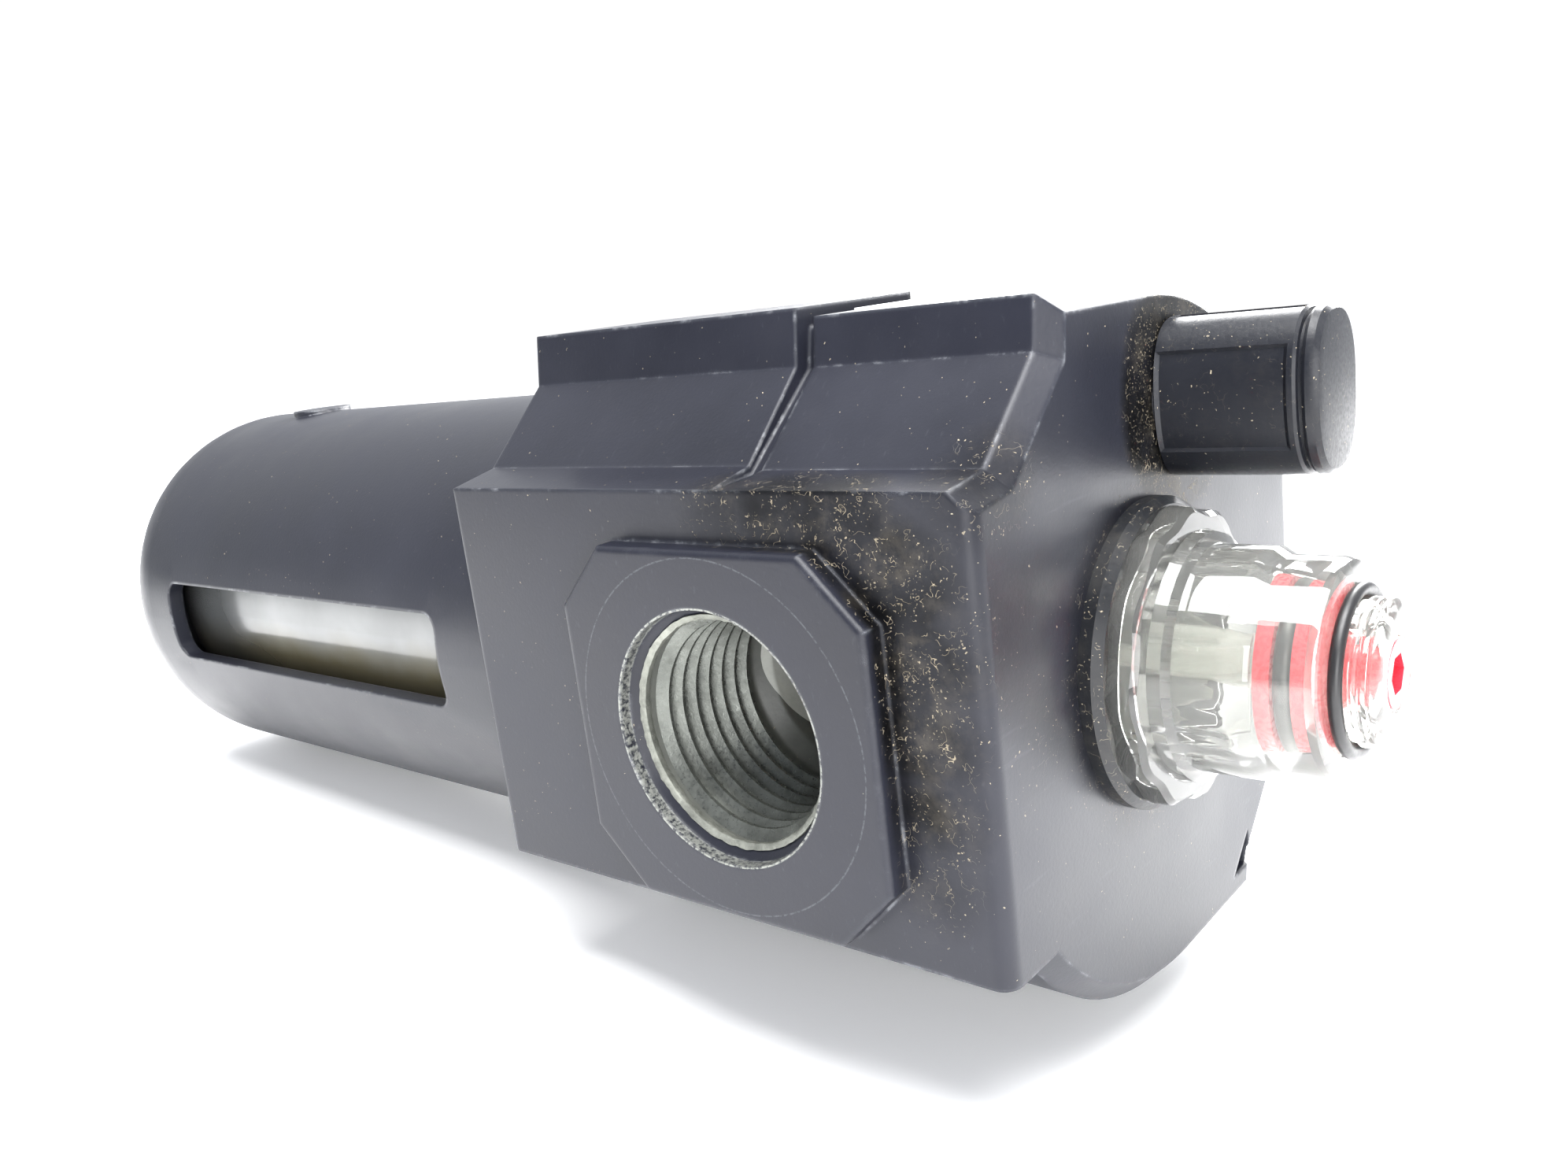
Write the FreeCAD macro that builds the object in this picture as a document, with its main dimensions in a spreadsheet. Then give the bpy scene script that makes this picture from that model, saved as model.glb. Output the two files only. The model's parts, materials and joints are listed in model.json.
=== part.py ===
# Air-line lubricator: a die-cast head with two half-inch ports, an oil bowl in a slotted guard,
# a sight dome with its drip-rate screw, and a fill plug.
# Millimetres. X runs along the ports from the inlet, Z is up, -Y is the front.
# The origin is on the port axis where the inlet port's thread starts, just inside its face.
import FreeCAD, Part
import math
import os
import re
import Sketcher

# Name, size and note. A size that starts with "=" follows from others.
SIZES = [
    # casting
    ("face_to_face", 68.0, "over both port bosses"),
    ("body_width", 63.2, "over the two side faces"),
    ("body_top", 26.0, "top plane above the port axis"),
    ("body_bottom", 34.7, "skirt below the port axis"),
    ("side_front", 21.2, "side face, towards the front"),
    ("side_back", 18.1, "side face, towards the back"),
    ("core_front", 1.2, "centre of the round parts, ahead of the port axis"),
    ("panel_right", 17.9, "end of the flat panel, from the bowl axis"),
    ("panel_front", 34.8, "flat panel ahead of the port axis"),
    ("slope_outer", 26.4, "where the slanted face starts, from the bowl axis"),
    ("slope_outer_front", 22.3, "its distance ahead"),
    ("slope_inner", 18.7, "where the slanted face ends, from the bowl axis"),
    ("slope_inner_front", 29.7, "its distance ahead"),
    ("upper_inset", 0.9, "upper front stands back by this"),
    ("groove_inset", 1.9, "parting groove floor stands back by this"),
    ("groove_bottom", 1.2, "parting groove, lower edge"),
    ("groove_width", 1.3, "parting groove width"),
    ("top_chamfer", 1.8, "chamfer on the top of the panels"),
    ("side_round", 1.6, "rounding of the rest of the top rim"),
    ("lug_pocket_depth", 3.0, "hollow in the top of the rear panel"),
    ("label_left", 2.6, "label on the upper panel, from the bowl axis"),
    ("label_right", 14.4, "its other side"),
    ("label_low", 5.0, "its lower edge"),
    ("label_high", 21.0, "its upper edge"),
    ("label_thick", 0.25, "label thickness"),
    # ports
    ("boss_half_wide", 16.6, "octagon half width along Y"),
    ("boss_half_tall", 17.2, "octagon half height"),
    ("boss_corner", 5.7, "octagon corner cut"),
    ("port_mouth_radius", "=port_radius + 1.02", "relief at the port mouth"),
    ("port_mouth_depth", 1.2, "depth of that relief"),
    ("port_lead", 0.9, "taper from the relief to the thread"),
    ("port_radius", 10.48, "thread root radius"),
    ("port_depth", 17.0, "threaded depth from the face"),
    ("flow_radius", 9.0, "plain passage between the ports"),
    # guard and bowl
    ("guard_radius", 27.3, "outside, at the thread"),
    ("guard_draft", 0.6, "how much narrower the guard is at its foot"),
    ("guard_foot_radius", "=guard_radius - guard_draft", "outside, at the foot"),
    ("guard_wall", 2.2, "guard thickness"),
    ("guard_bottom", 138.2, "lowest point below the port axis"),
    ("guard_hole", 9.5, "opening in the foot"),
    ("guard_round_wish", 14.9, "outer rounding of the foot, if there is room for it"),
    ("guard_round", "=min(guard_round_wish; guard_foot_radius - guard_hole - 2.2)",
     "outer rounding of the foot"),
    ("guard_reach", 12.5, "guard inside the skirt"),
    ("guard_ledge", 1.9, "width of the ledge below the bowl flange"),
    ("ledge_thick", 2.2, "thickness of the ledge"),
    ("window_width", 11.2, "guard slot width"),
    ("window_top", 49.5, "slot top below the port axis"),
    ("window_bottom", "=guard_bottom - 21.2", "slot bottom below the port axis"),
    ("window_corner", 2.2, "slot corner radius"),
    ("button_low", "=guard_bottom - 28.2", "round button on the guard's front, below the port axis"),
    ("button_radius", 4.2, "round button on the guard's front"),
    ("button_rise", 0.6, "how far it stands out"),
    ("thread_play", 0.08, "radial clearance of a running thread or spigot"),
    ("bowl_clearance", 3.5, "radial gap between bowl and guard"),
    ("bowl_radius", "=guard_radius - guard_wall - bowl_clearance", "bowl outside"),
    ("bowl_wall", 2.3, "bowl thickness"),
    ("bowl_gap", 2.4, "bowl bottom above the guard's floor"),
    ("bowl_round_wish", 13.0, "rounding of the bowl's bottom, if there is room for it"),
    ("bowl_round", "=min(bowl_round_wish; bowl_radius - drain_flange - 3.2)",
     "rounding of the bowl's bottom"),
    ("neck_step", 2.6, "width of the flange's top beside the neck"),
    ("neck_radius", "=guard_radius - guard_wall - neck_step", "bowl neck in the head"),
    ("neck_height", 6.2, "neck above the flange"),
    ("flange_thick", 2.4, "bowl flange"),
    ("bowl_ring_wire", 0.9, "bowl O-ring section radius"),
    ("end_gap", 0.3, "gap between parts that don't touch"),
    # drain
    ("drain_radius", 3.0, "drain stem"),
    ("drain_flange", 5.2, "stem flange inside the bowl"),
    ("drain_knob_radius", 6.4, "drain knob"),
    # siphon
    ("siphon_gap", 3.1, "strainer to the bowl's wall"),
    ("siphon_back", "=bowl_radius - bowl_wall - filter_radius - siphon_gap",
     "siphon axis behind the bowl axis"),
    ("siphon_radius", 2.0, "tube outside"),
    ("siphon_bore", 1.2, "tube bore"),
    ("siphon_bottom", "=guard_bottom - 24.2", "tube end below the port axis"),
    ("siphon_socket", 6.0, "tube pressed into the head"),
    ("foot_radius", 3.2, "check foot outside"),
    ("filter_radius", 4.2, "strainer outside"),
    # flow sensor and bowl check valve
    ("vane_radius", "=flow_radius - 2.4", "flow vane"),
    ("vane_thick", 0.9, "flow vane thickness"),
    ("vane_pivot", "=flow_radius - 2.9", "pivot above the port axis"),
    ("pin_radius", 0.6, "vane pin"),
    ("valve_station", 12.5, "bowl check valve ahead of the bowl axis, towards the inlet"),
    ("valve_ball_radius", 1.5, "valve ball"),
    ("valve_seat_radius", 0.9, "hole that the valve ball closes"),
    ("valve_bore", 2.4, "valve chamber radius"),
    ("spring_wire", 0.14, "valve spring wire radius"),
    ("spring_turns", 3, "valve spring turns"),
    # sight dome
    ("dome_right", 4.1, "dome axis, towards the outlet"),
    ("dome_front", 1.4, "dome axis ahead of the port axis"),
    ("dome_radius", 9.85, "clear barrel"),
    ("dome_wall", 1.9, "its thickness"),
    ("dome_spigot", "=dome_radius - 1.25", "spigot in the head"),
    ("dome_depth", 12.5, "depth of the well"),
    ("gasket_radius", "=dome_radius + 4.05", "dome gasket"),
    ("gasket_thick", 1.9, "dome gasket"),
    ("lobe_radius", "=dome_radius + 2.85", "flange mean radius"),
    ("lobe_count", 12, "flange lobes"),
    ("lobe_bump", 2.9, "radius of one lobe"),
    ("dome_flange_thick", 2.6, "flange thickness"),
    ("barrel_top", 37.4, "top of the clear barrel"),
    ("crown_radius", "=dome_radius - 0.65", "upper barrel"),
    ("crown_top", 43.2, "top of the upper barrel"),
    ("neck_outer", 6.1, "dome neck"),
    ("dome_top", 46.6, "highest point"),
    ("screw_radius", "=crown_radius - 1.8", "drip-rate screw head"),
    ("screw_stem", 2.8, "drip-rate screw stem"),
    ("hex_size", 3.0, "hex socket across flats"),
    ("standpipe_radius", 2.4, "oil standpipe"),
    # fill plug
    ("plug_left", 4.2, "plug axis, towards the inlet"),
    ("plug_front", 23.0, "plug axis ahead of the port axis"),
    ("plug_stem", 3.9, "threaded stem"),
    ("plug_collar", 2.6, "how far the O-ring boss stands out on the stem"),
    ("plug_thick", 8.2, "grip across"),
    ("plug_width", 14.2, "grip along Y"),
    ("plug_height", 13.9, "grip height"),
    ("plug_cap", 1.9, "end cap of the grip, with its groove"),
    ("plug_groove", 0.4, "groove under the end cap"),
    ("plug_seal_wire", 0.7, "plug O-ring section radius"),
]

FRONT = "XZ_Plane"
TOP = "XY_Plane"
SIDE = "YZ_Plane"

doc = FreeCAD.newDocument("lubricator")
dims = doc.addObject("Spreadsheet::Sheet", "dims")
for row, (alias, size, note) in enumerate(SIZES, start=1):
    dims.set(f"A{row}", alias)
    dims.set(f"B{row}", str(size))
    dims.set(f"C{row}", note)
    dims.setAlias(f"B{row}", alias)
doc.recompute()

ALIASES = re.compile(r"\b(" + "|".join(alias for alias, size, note in SIZES) + r")\b")
nodes = []


def bound(text):
    """A formula over the sheet's sizes, as an expression the document can hold."""
    return ALIASES.sub(r"dims.\1", str(text))


def value(text):
    """What a formula comes to with the sheet's present sizes."""
    return float(probe.evalExpression(bound(text)))


probe = doc.addObject("App::FeaturePython", "probe")


def place(part, x="0", y="0", z="0"):
    """Stands a part on the bowl axis, or beside it by x, y and z."""
    part.setExpression("Placement.Base.x", bound(f"face_to_face / 2 - port_mouth_depth - port_lead + ({x})"))
    part.setExpression("Placement.Base.y", bound(y))
    part.setExpression("Placement.Base.z", bound(z))


def keep(part, label):
    """Names a finished sub-part and lists it for export."""
    part.Label = label
    nodes.append(part)
    return part


def origin_plane(body, role):
    return next(f for f in body.Origin.OriginFeatures if f.Role == role)


def new_body(name, x="0", y="0"):
    body = doc.addObject("PartDesign::Body", name)
    place(body, x, y)
    doc.recompute()
    return body


def new_sketch(body, name, plane, lift="0"):
    """A sketch on one of the body's own origin planes, lifted along that plane's normal."""
    sketch = body.newObject("Sketcher::SketchObject", name)
    sketch.AttachmentSupport = (origin_plane(body, plane), [""])
    sketch.MapMode = "FlatFace"
    sketch.setExpression("AttachmentOffset.Base.z", bound(lift))
    return sketch


def set_datum(sketch, constraint, formula):
    """Adds a dimension to a sketch and ties it to the sheet."""
    index = sketch.addConstraint(constraint)
    sketch.setExpression(f"Constraints[{index}]", bound(formula))


def hexagon(radius):
    """The six corners of a hexagon about the origin, from its corner radius."""
    turns = [math.radians(60 * corner) for corner in range(6)]
    return [(f"{radius} * {math.cos(turn):.6f}", f"{radius} * {math.sin(turn):.6f}") for turn in turns]


def polygon(body, name, plane, points, lift="0"):
    """A closed outline whose every corner is dimensioned from the sketch's origin."""
    sketch = new_sketch(body, name, plane, lift)
    spots = [FreeCAD.Vector(value(u), value(v), 0) for u, v in points]
    count = len(spots)
    for i in range(count):
        sketch.addGeometry(Part.LineSegment(spots[i], spots[(i + 1) % count]), False)
    for i in range(count):
        sketch.addConstraint(Sketcher.Constraint("Coincident", i, 2, (i + 1) % count, 1))
    for i, (u, v) in enumerate(points):
        set_datum(sketch, Sketcher.Constraint("DistanceX", i, 1, spots[i].x), u)
        set_datum(sketch, Sketcher.Constraint("DistanceY", i, 1, spots[i].y), v)
    return sketch


def circles(body, name, plane, holes, lift="0"):
    """A sketch of circles, each given as (u, v, radius)."""
    sketch = new_sketch(body, name, plane, lift)
    up = FreeCAD.Vector(0, 0, 1)
    for u, v, radius in holes:
        centre = FreeCAD.Vector(value(u), value(v), 0)
        index = sketch.addGeometry(Part.Circle(centre, up, value(radius)), False)
        set_datum(sketch, Sketcher.Constraint("Radius", index, value(radius)), radius)
        set_datum(sketch, Sketcher.Constraint("DistanceX", index, 3, centre.x), u)
        set_datum(sketch, Sketcher.Constraint("DistanceY", index, 3, centre.y), v)
    return sketch


def pad(body, sketch, length, reverse=False, both=False):
    feature = body.newObject("PartDesign::Pad", sketch.Name + "_pad")
    feature.Profile = sketch
    feature.setExpression("Length", bound(length))
    feature.Reversed = reverse
    if both:
        feature.Midplane = True
    doc.recompute()
    return feature


def pocket(body, sketch, length, reverse=False, both=False):
    """Cuts a sketch's outline, and makes sure that it has cut something."""
    before = body.Shape.Volume
    feature = body.newObject("PartDesign::Pocket", sketch.Name + "_cut")
    feature.Profile = sketch
    feature.setExpression("Length", bound(length))
    feature.Reversed = reverse
    if both:
        feature.Midplane = True
    doc.recompute()
    if body.Shape.Volume >= before:
        raise RuntimeError(f"{feature.Name} removes nothing")
    return feature


def spin(body, sketch, axis="V_Axis", cut=False):
    """A full turn of a sketch about one of its own axes, added or cut."""
    kind = "PartDesign::Groove" if cut else "PartDesign::Revolution"
    before = body.Shape.Volume if cut else 0
    feature = body.newObject(kind, sketch.Name + "_spin")
    feature.Profile = sketch
    feature.ReferenceAxis = (sketch, [axis])
    feature.Angle = 360
    doc.recompute()
    if cut and body.Shape.Volume >= before:
        raise RuntimeError(f"{feature.Name} removes nothing")
    return feature


def soften(body, kind, name, size, wanted):
    """A fillet or chamfer on every edge of the body for which wanted(edge) holds."""
    edges = [f"Edge{i}" for i, edge in enumerate(body.Shape.Edges, start=1) if wanted(edge)]
    if not edges:
        raise RuntimeError(f"{name} finds no edge")
    base = body.Tip
    feature = body.newObject("PartDesign::" + kind, name)
    feature.Base = (base, edges)
    feature.setExpression("Radius" if kind == "Fillet" else "Size", bound(size))
    doc.recompute()
    if "Invalid" in feature.State or not body.Shape.isValid():
        raise RuntimeError(f"{name} spoils the solid")
    return feature


def close(a, b, slack=0.02):
    return abs(a - b) < slack


def local_centre(body, edge):
    """The middle of an edge's box, in the body's own frame."""
    return edge.BoundBox.Center - body.Placement.Base


def circle_at(body, radius, height):
    """A test for the round edge of that radius at that height."""

    def test(edge):
        if not isinstance(edge.Curve, Part.Circle):
            return False
        return close(edge.Curve.Radius, value(radius)) and close(local_centre(body, edge).z, value(height))

    return test


def turned(name, outline, x="0", y="0"):
    """A body turned about its own vertical axis from (radius, height) corners."""
    body = new_body(name, x, y)
    spin(body, polygon(body, name + "_outline", FRONT, outline))
    return keep(body, name)


def torus(name, ring, wire, x="0", y="0", z="0"):
    part = doc.addObject("Part::Torus", name)
    part.setExpression("Radius1", bound(ring))
    part.setExpression("Radius2", bound(wire))
    place(part, x, y, z)
    return keep(part, name)


def ball(name, radius, x="0", y="0", z="0"):
    part = doc.addObject("Part::Sphere", name)
    part.setExpression("Radius", bound(radius))
    place(part, x, y, z)
    return keep(part, name)


# Formulas that several sub-parts share.
CORE_RADIUS = "(panel_front - upper_inset - core_front)"
GUARD_TOP = "guard_reach - body_bottom"
FLANGE_TOP = f"{GUARD_TOP} - 0.1"
LEDGE_TOP = f"{FLANGE_TOP} - flange_thick - 0.1"
NECK_TOP = f"{FLANGE_TOP} + neck_height"
CEILING = f"{NECK_TOP} + end_gap"
SEAT_BORE = "neck_radius + thread_play * 2"
GUARD_INNER = "guard_radius - guard_wall"
BOWL_BOTTOM = "guard_wall + bowl_gap - guard_bottom"
BOWL_FLOOR = f"{BOWL_BOTTOM} + bowl_wall"
BOWL_RING_Z = f"{FLANGE_TOP} + neck_height / 2"
BOWL_RING = "neck_radius - bowl_ring_wire + 0.08"
WELL_FLOOR = "body_top - dome_depth"
DOME_X = "dome_right"
DOME_Y = "-dome_front"
PLUG_X = "-plug_left"
PLUG_Y = "-plug_front"
GALLERY_Z = f"{WELL_FLOOR} - siphon_bore - 0.8"
PLUG_HOLE = "plug_stem + plug_collar / 2 + 0.06"


def panel_outline(inset, turn):
    """One panel's plan, its faces set back by inset; turn -1 gives the one diagonally opposite."""
    corners = [
        ("slope_outer", f"-(slope_outer_front - ({inset}) * 0.4)"),
        (f"slope_inner - ({inset}) * 0.9", f"-(slope_inner_front - ({inset}) * 0.2)"),
        (f"panel_right - ({inset}) * 0.9", f"-(panel_front - ({inset}))"),
        ("0", f"-(panel_front - ({inset}))"),
        ("0", "0"),
        ("body_width / 2", "0"),
    ]
    if turn > 0:
        return corners + [("body_width / 2", "-side_front")]
    opposite = [(f"-({u})", f"-({v}) - core_front * 2") for u, v in corners]
    return opposite + [("-body_width / 2", "side_back")]


def core_quarter(body, name, turn):
    """The round part beside a panel: at the back right (turn 1) or the front left (turn -1)."""
    sketch = new_sketch(body, name, TOP, "-body_bottom")
    radius = value(CORE_RADIUS)
    side = "side_back" if turn > 0 else "-side_front"
    centre = FreeCAD.Vector(0, -value("core_front"), 0)
    start = math.asin((value(side) - centre.y) * turn / radius)
    tip = FreeCAD.Vector(0, centre.y + radius * turn, 0)
    foot = FreeCAD.Vector(radius * math.cos(start) * turn, value(side), 0)
    circle = Part.Circle(centre, FreeCAD.Vector(0, 0, 1), radius)
    first = start if turn > 0 else start + math.pi
    arc = sketch.addGeometry(Part.ArcOfCircle(circle, first, first + math.pi / 2 - start), False)
    inner = FreeCAD.Vector(0, value(side) - turn, 0)
    outer = FreeCAD.Vector(foot.x, inner.y, 0)
    corners = [tip, inner, outer, foot]
    lines = [sketch.addGeometry(Part.LineSegment(corners[i], corners[i + 1]), False) for i in range(3)]
    sketch.addConstraint(Sketcher.Constraint("Coincident", arc, 2, lines[0], 1))
    sketch.addConstraint(Sketcher.Constraint("Coincident", lines[0], 2, lines[1], 1))
    sketch.addConstraint(Sketcher.Constraint("Coincident", lines[1], 2, lines[2], 1))
    sketch.addConstraint(Sketcher.Constraint("Coincident", lines[2], 2, arc, 1))
    sketch.addConstraint(Sketcher.Constraint("Vertical", lines[0]))
    sketch.addConstraint(Sketcher.Constraint("Horizontal", lines[1]))
    sketch.addConstraint(Sketcher.Constraint("Vertical", lines[2]))
    set_datum(sketch, Sketcher.Constraint("Radius", arc, radius), CORE_RADIUS)
    set_datum(sketch, Sketcher.Constraint("DistanceX", arc, 3, 0.0), "0")
    set_datum(sketch, Sketcher.Constraint("DistanceY", arc, 3, centre.y), "-core_front")
    set_datum(sketch, Sketcher.Constraint("DistanceX", lines[0], 1, 0.0), "0")
    set_datum(sketch, Sketcher.Constraint("DistanceY", arc, 1, foot.y), side)
    set_datum(sketch, Sketcher.Constraint("DistanceY", lines[0], 2, inner.y), f"{side} - ({turn})")
    return sketch


def make_head():
    """The casting: a side block, two round quarters, two panels and two octagonal port bosses."""
    body = new_body("head")
    height = "body_top + body_bottom"
    half_width = "body_width / 2"
    block = [(half_width, "side_back"), (f"-{half_width}", "side_back"),
             (f"-{half_width}", "-side_front"), (half_width, "-side_front")]
    pad(body, polygon(body, "side_block", TOP, block, "-body_bottom"), height)
    pad(body, core_quarter(body, "back_right", 1), height)
    pad(body, core_quarter(body, "front_left", -1), height)
    upper_lift = "groove_bottom + groove_width"
    for name, turn in (("front_panel", 1), ("rear_panel", -1)):
        inside = panel_outline("groove_inset", turn)
        middle = polygon(body, name + "_middle", TOP, inside, "groove_bottom - 1")
        pad(body, middle, "groove_width + 2")
        lower = polygon(body, name + "_lower", TOP, panel_outline("0", turn), "-body_bottom")
        pad(body, lower, "body_bottom + groove_bottom")
        upper = polygon(body, name + "_upper", TOP, panel_outline("upper_inset", turn), upper_lift)
        pad(body, upper, f"body_top - ({upper_lift})")

    top = value("body_top")

    def bevelled(edge):
        spot = local_centre(body, edge)
        flat = close(edge.BoundBox.ZMin, top) and close(edge.BoundBox.ZLength, 0)
        return flat and (spot.y < value("-side_front") - 0.1 or spot.y > value("side_back") + 0.1)

    soften(body, "Chamfer", "panel_top_chamfer", "top_chamfer", bevelled)

    def side_rim(edge):
        spot = local_centre(body, edge)
        flat = close(spot.z, top) and close(edge.BoundBox.ZLength, 0)
        return flat and close(abs(spot.x), value(half_width)) and edge.Length > value("body_width") / 3

    soften(body, "Fillet", "top_rim_round", "side_round", side_rim)

    def foot_rim(edge):
        spot = local_centre(body, edge)
        return close(spot.z, value("-body_bottom")) and close(edge.BoundBox.ZLength, 0)

    soften(body, "Fillet", "foot_rim_round", "0.7", foot_rim)

    corner = "boss_corner"
    wide, tall = "boss_half_wide", "boss_half_tall"
    octagon = [
        (wide, f"{tall} - {corner}"), (f"{wide} - {corner}", tall),
        (f"-({wide} - {corner})", tall), (f"-{wide}", f"{tall} - {corner}"),
        (f"-{wide}", f"-({tall} - {corner})"), (f"-({wide} - {corner})", f"-{tall}"),
        (f"{wide} - {corner}", f"-{tall}"), (wide, f"-({tall} - {corner})"),
    ]
    pad(body, polygon(body, "port_boss", SIDE, octagon), "face_to_face", both=True)

    def boss_rim(edge):
        at_end = close(abs(local_centre(body, edge).x), value("face_to_face / 2"))
        return at_end and close(edge.BoundBox.XLength, 0)

    soften(body, "Fillet", "boss_rim_round", "0.5", boss_rim)

    end = "face_to_face / 2"
    half_passage = [
        (f"{end} - port_depth - 1.5", "flow_radius"), (f"{end} - port_depth", "port_radius"),
        (f"{end} - port_mouth_depth - port_lead", "port_radius"),
        (f"{end} - port_mouth_depth", "port_mouth_radius"),
        (f"{end} + 1", "port_mouth_radius"), (f"{end} + 1", "0"),
    ]
    passage = [(f"-({u})", v) for u, v in reversed(half_passage)] + half_passage
    spin(body, polygon(body, "flow_passage", FRONT, passage), axis="H_Axis", cut=True)

    cavity = [
        ("0", "-body_bottom - 1"), ("guard_radius + thread_play", "-body_bottom - 1"),
        ("guard_radius + thread_play", f"{GUARD_TOP} + end_gap"), (SEAT_BORE, f"{GUARD_TOP} + end_gap"),
        (SEAT_BORE, CEILING), ("0", CEILING),
    ]
    spin(body, polygon(body, "bowl_cavity", FRONT, cavity), cut=True)

    well = circles(body, "dome_well", TOP, [(DOME_X, DOME_Y, "dome_spigot + 0.05")], "body_top")
    pocket(body, well, "dome_depth")
    feed = circles(body, "standpipe_feed", TOP, [(DOME_X, DOME_Y, "siphon_bore")], WELL_FLOOR)
    pocket(body, feed, f"{WELL_FLOOR} - ({GALLERY_Z})")
    drip = circles(body, "drip_hole", TOP, [(f"{DOME_X} + 5", DOME_Y, "1.5")], WELL_FLOOR)
    pocket(body, drip, f"{WELL_FLOOR} - flow_radius + 2")
    riser = circles(body, "oil_riser", TOP, [("0", "siphon_back", "siphon_bore")], CEILING)
    pocket(body, riser, f"{GALLERY_Z} + siphon_bore - ({CEILING})", reverse=True)
    socket = circles(body, "siphon_socket_hole", TOP, [("0", "siphon_back", "siphon_radius")], CEILING)
    pocket(body, socket, "siphon_socket", reverse=True)

    gallery = new_sketch(body, "oil_gallery", TOP, GALLERY_Z)
    ends = [(0.0, value("siphon_back")), (value(DOME_X), value(DOME_Y))]
    along = FreeCAD.Vector(ends[1][0] - ends[0][0], ends[1][1] - ends[0][1], 0).normalize()
    across = FreeCAD.Vector(-along.y, along.x, 0) * value("siphon_bore")
    spots = [FreeCAD.Vector(u, v, 0) + across * side for (u, v), side in
             zip((ends[0], ends[1], ends[1], ends[0]), (1, 1, -1, -1))]
    for i in range(4):
        gallery.addGeometry(Part.LineSegment(spots[i], spots[(i + 1) % 4]), False)
        gallery.addConstraint(Sketcher.Constraint("Block", i))
    pocket(body, gallery, "siphon_bore * 2", both=True)

    fill = circles(body, "fill_hole", TOP, [(PLUG_X, PLUG_Y, PLUG_HOLE)], "body_top")
    pocket(body, fill, "body_top - 6")
    duct = circles(body, "fill_duct", TOP, [(PLUG_X, "-(bowl_radius - bowl_wall - 2.3)", "2.5")], CEILING)
    pocket(body, duct, f"12 - ({CEILING})", reverse=True)

    hollow = [("-12.3", "28"), ("-16.4", "28"), ("-16.4", "24.3")]
    pocket(body, polygon(body, "lug_pocket", TOP, hollow, "body_top"), "lug_pocket_depth")

    seat = circles(body, "valve_seat", TOP, [("-valve_station", "0", "valve_seat_radius")], CEILING)
    pocket(body, seat, f"-({CEILING}) - flow_radius + 3", reverse=True)
    chamber = circles(body, "valve_chamber", TOP, [("-valve_station", "0", "valve_bore")], CEILING)
    pocket(body, chamber, f"-({CEILING}) - flow_radius - 1.6", reverse=True)

    return keep(body, "head")


def make_label():
    body = new_body("front_label")
    plate = [("label_right", "label_low"), ("label_right", "label_high"),
             ("label_left", "label_high"), ("label_left", "label_low")]
    face = polygon(body, "label_outline", FRONT, plate, "panel_front - upper_inset")
    pad(body, face, "label_thick")
    return keep(body, "front_label")


def make_flow_sensor():
    """A ring in the passage, with a flap hung from a pin at its top."""
    ring = new_body("vane_frame")
    outline = [("-3", "flow_radius - 1.3"), ("3", "flow_radius - 1.3"),
               ("3", "flow_radius"), ("-3", "flow_radius")]
    spin(ring, polygon(ring, "frame_outline", FRONT, outline), axis="H_Axis")
    hole = circles(ring, "frame_pin_hole", FRONT, [("0", "vane_pivot", "pin_radius")])
    pocket(ring, hole, "flow_radius * 2", both=True)
    keep(ring, "vane_frame")

    vane = new_body("flow_vane")
    disc = circles(vane, "vane_disc", SIDE, [("0", "-0.2", "vane_radius")])
    pad(vane, disc, "vane_thick", both=True)
    eye = circles(vane, "vane_eye", FRONT, [("0", "vane_pivot", "pin_radius + 0.45")])
    pad(vane, eye, "4", both=True)
    bore = circles(vane, "vane_bore", FRONT, [("0", "vane_pivot", "pin_radius + 0.05")])
    pocket(vane, bore, "12", both=True)
    keep(vane, "flow_vane")

    pin = doc.addObject("Part::Cylinder", "vane_pin")
    pin.setExpression("Radius", bound("pin_radius"))
    pin.setExpression("Height", bound("flow_radius * 1.3"))
    pin.Placement = FreeCAD.Placement(FreeCAD.Vector(), FreeCAD.Rotation(FreeCAD.Vector(1, 0, 0), 90))
    place(pin, "0", "flow_radius * 0.65", "vane_pivot")
    keep(pin, "vane_pin")


def make_bowl_check_valve():
    """A sprung ball that lets line pressure into the bowl."""
    seat_z = "-flow_radius - 1.6 - valve_ball_radius"
    ball("valve_ball", "valve_ball_radius", x="-valve_station", z=seat_z)
    clip_top = f"{CEILING} + 1.0"
    turned("valve_clip", [
        ("0.9", CEILING), ("valve_bore", CEILING), ("valve_bore", clip_top), ("0.9", clip_top)],
           x="-valve_station")
    coil_foot = value(clip_top) + value("spring_wire")
    coil_height = value(f"{seat_z} - valve_ball_radius * 0.7") - value("spring_wire") - coil_foot
    coil_radius = value("valve_ball_radius - spring_wire - 0.1")
    path = Part.makeHelix(coil_height / value("spring_turns"), coil_height, coil_radius)
    start = FreeCAD.Vector(coil_radius, 0, 0)
    section = Part.Wire(Part.makeCircle(value("spring_wire"), start, FreeCAD.Vector(0, 1, 0)))
    spring = doc.addObject("Part::Feature", "valve_spring")
    spring.Shape = Part.Wire(path).makePipeShell([section], True, True)
    place(spring, x="-valve_station", z=f"{clip_top} + spring_wire")
    keep(spring, "valve_spring")


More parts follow.
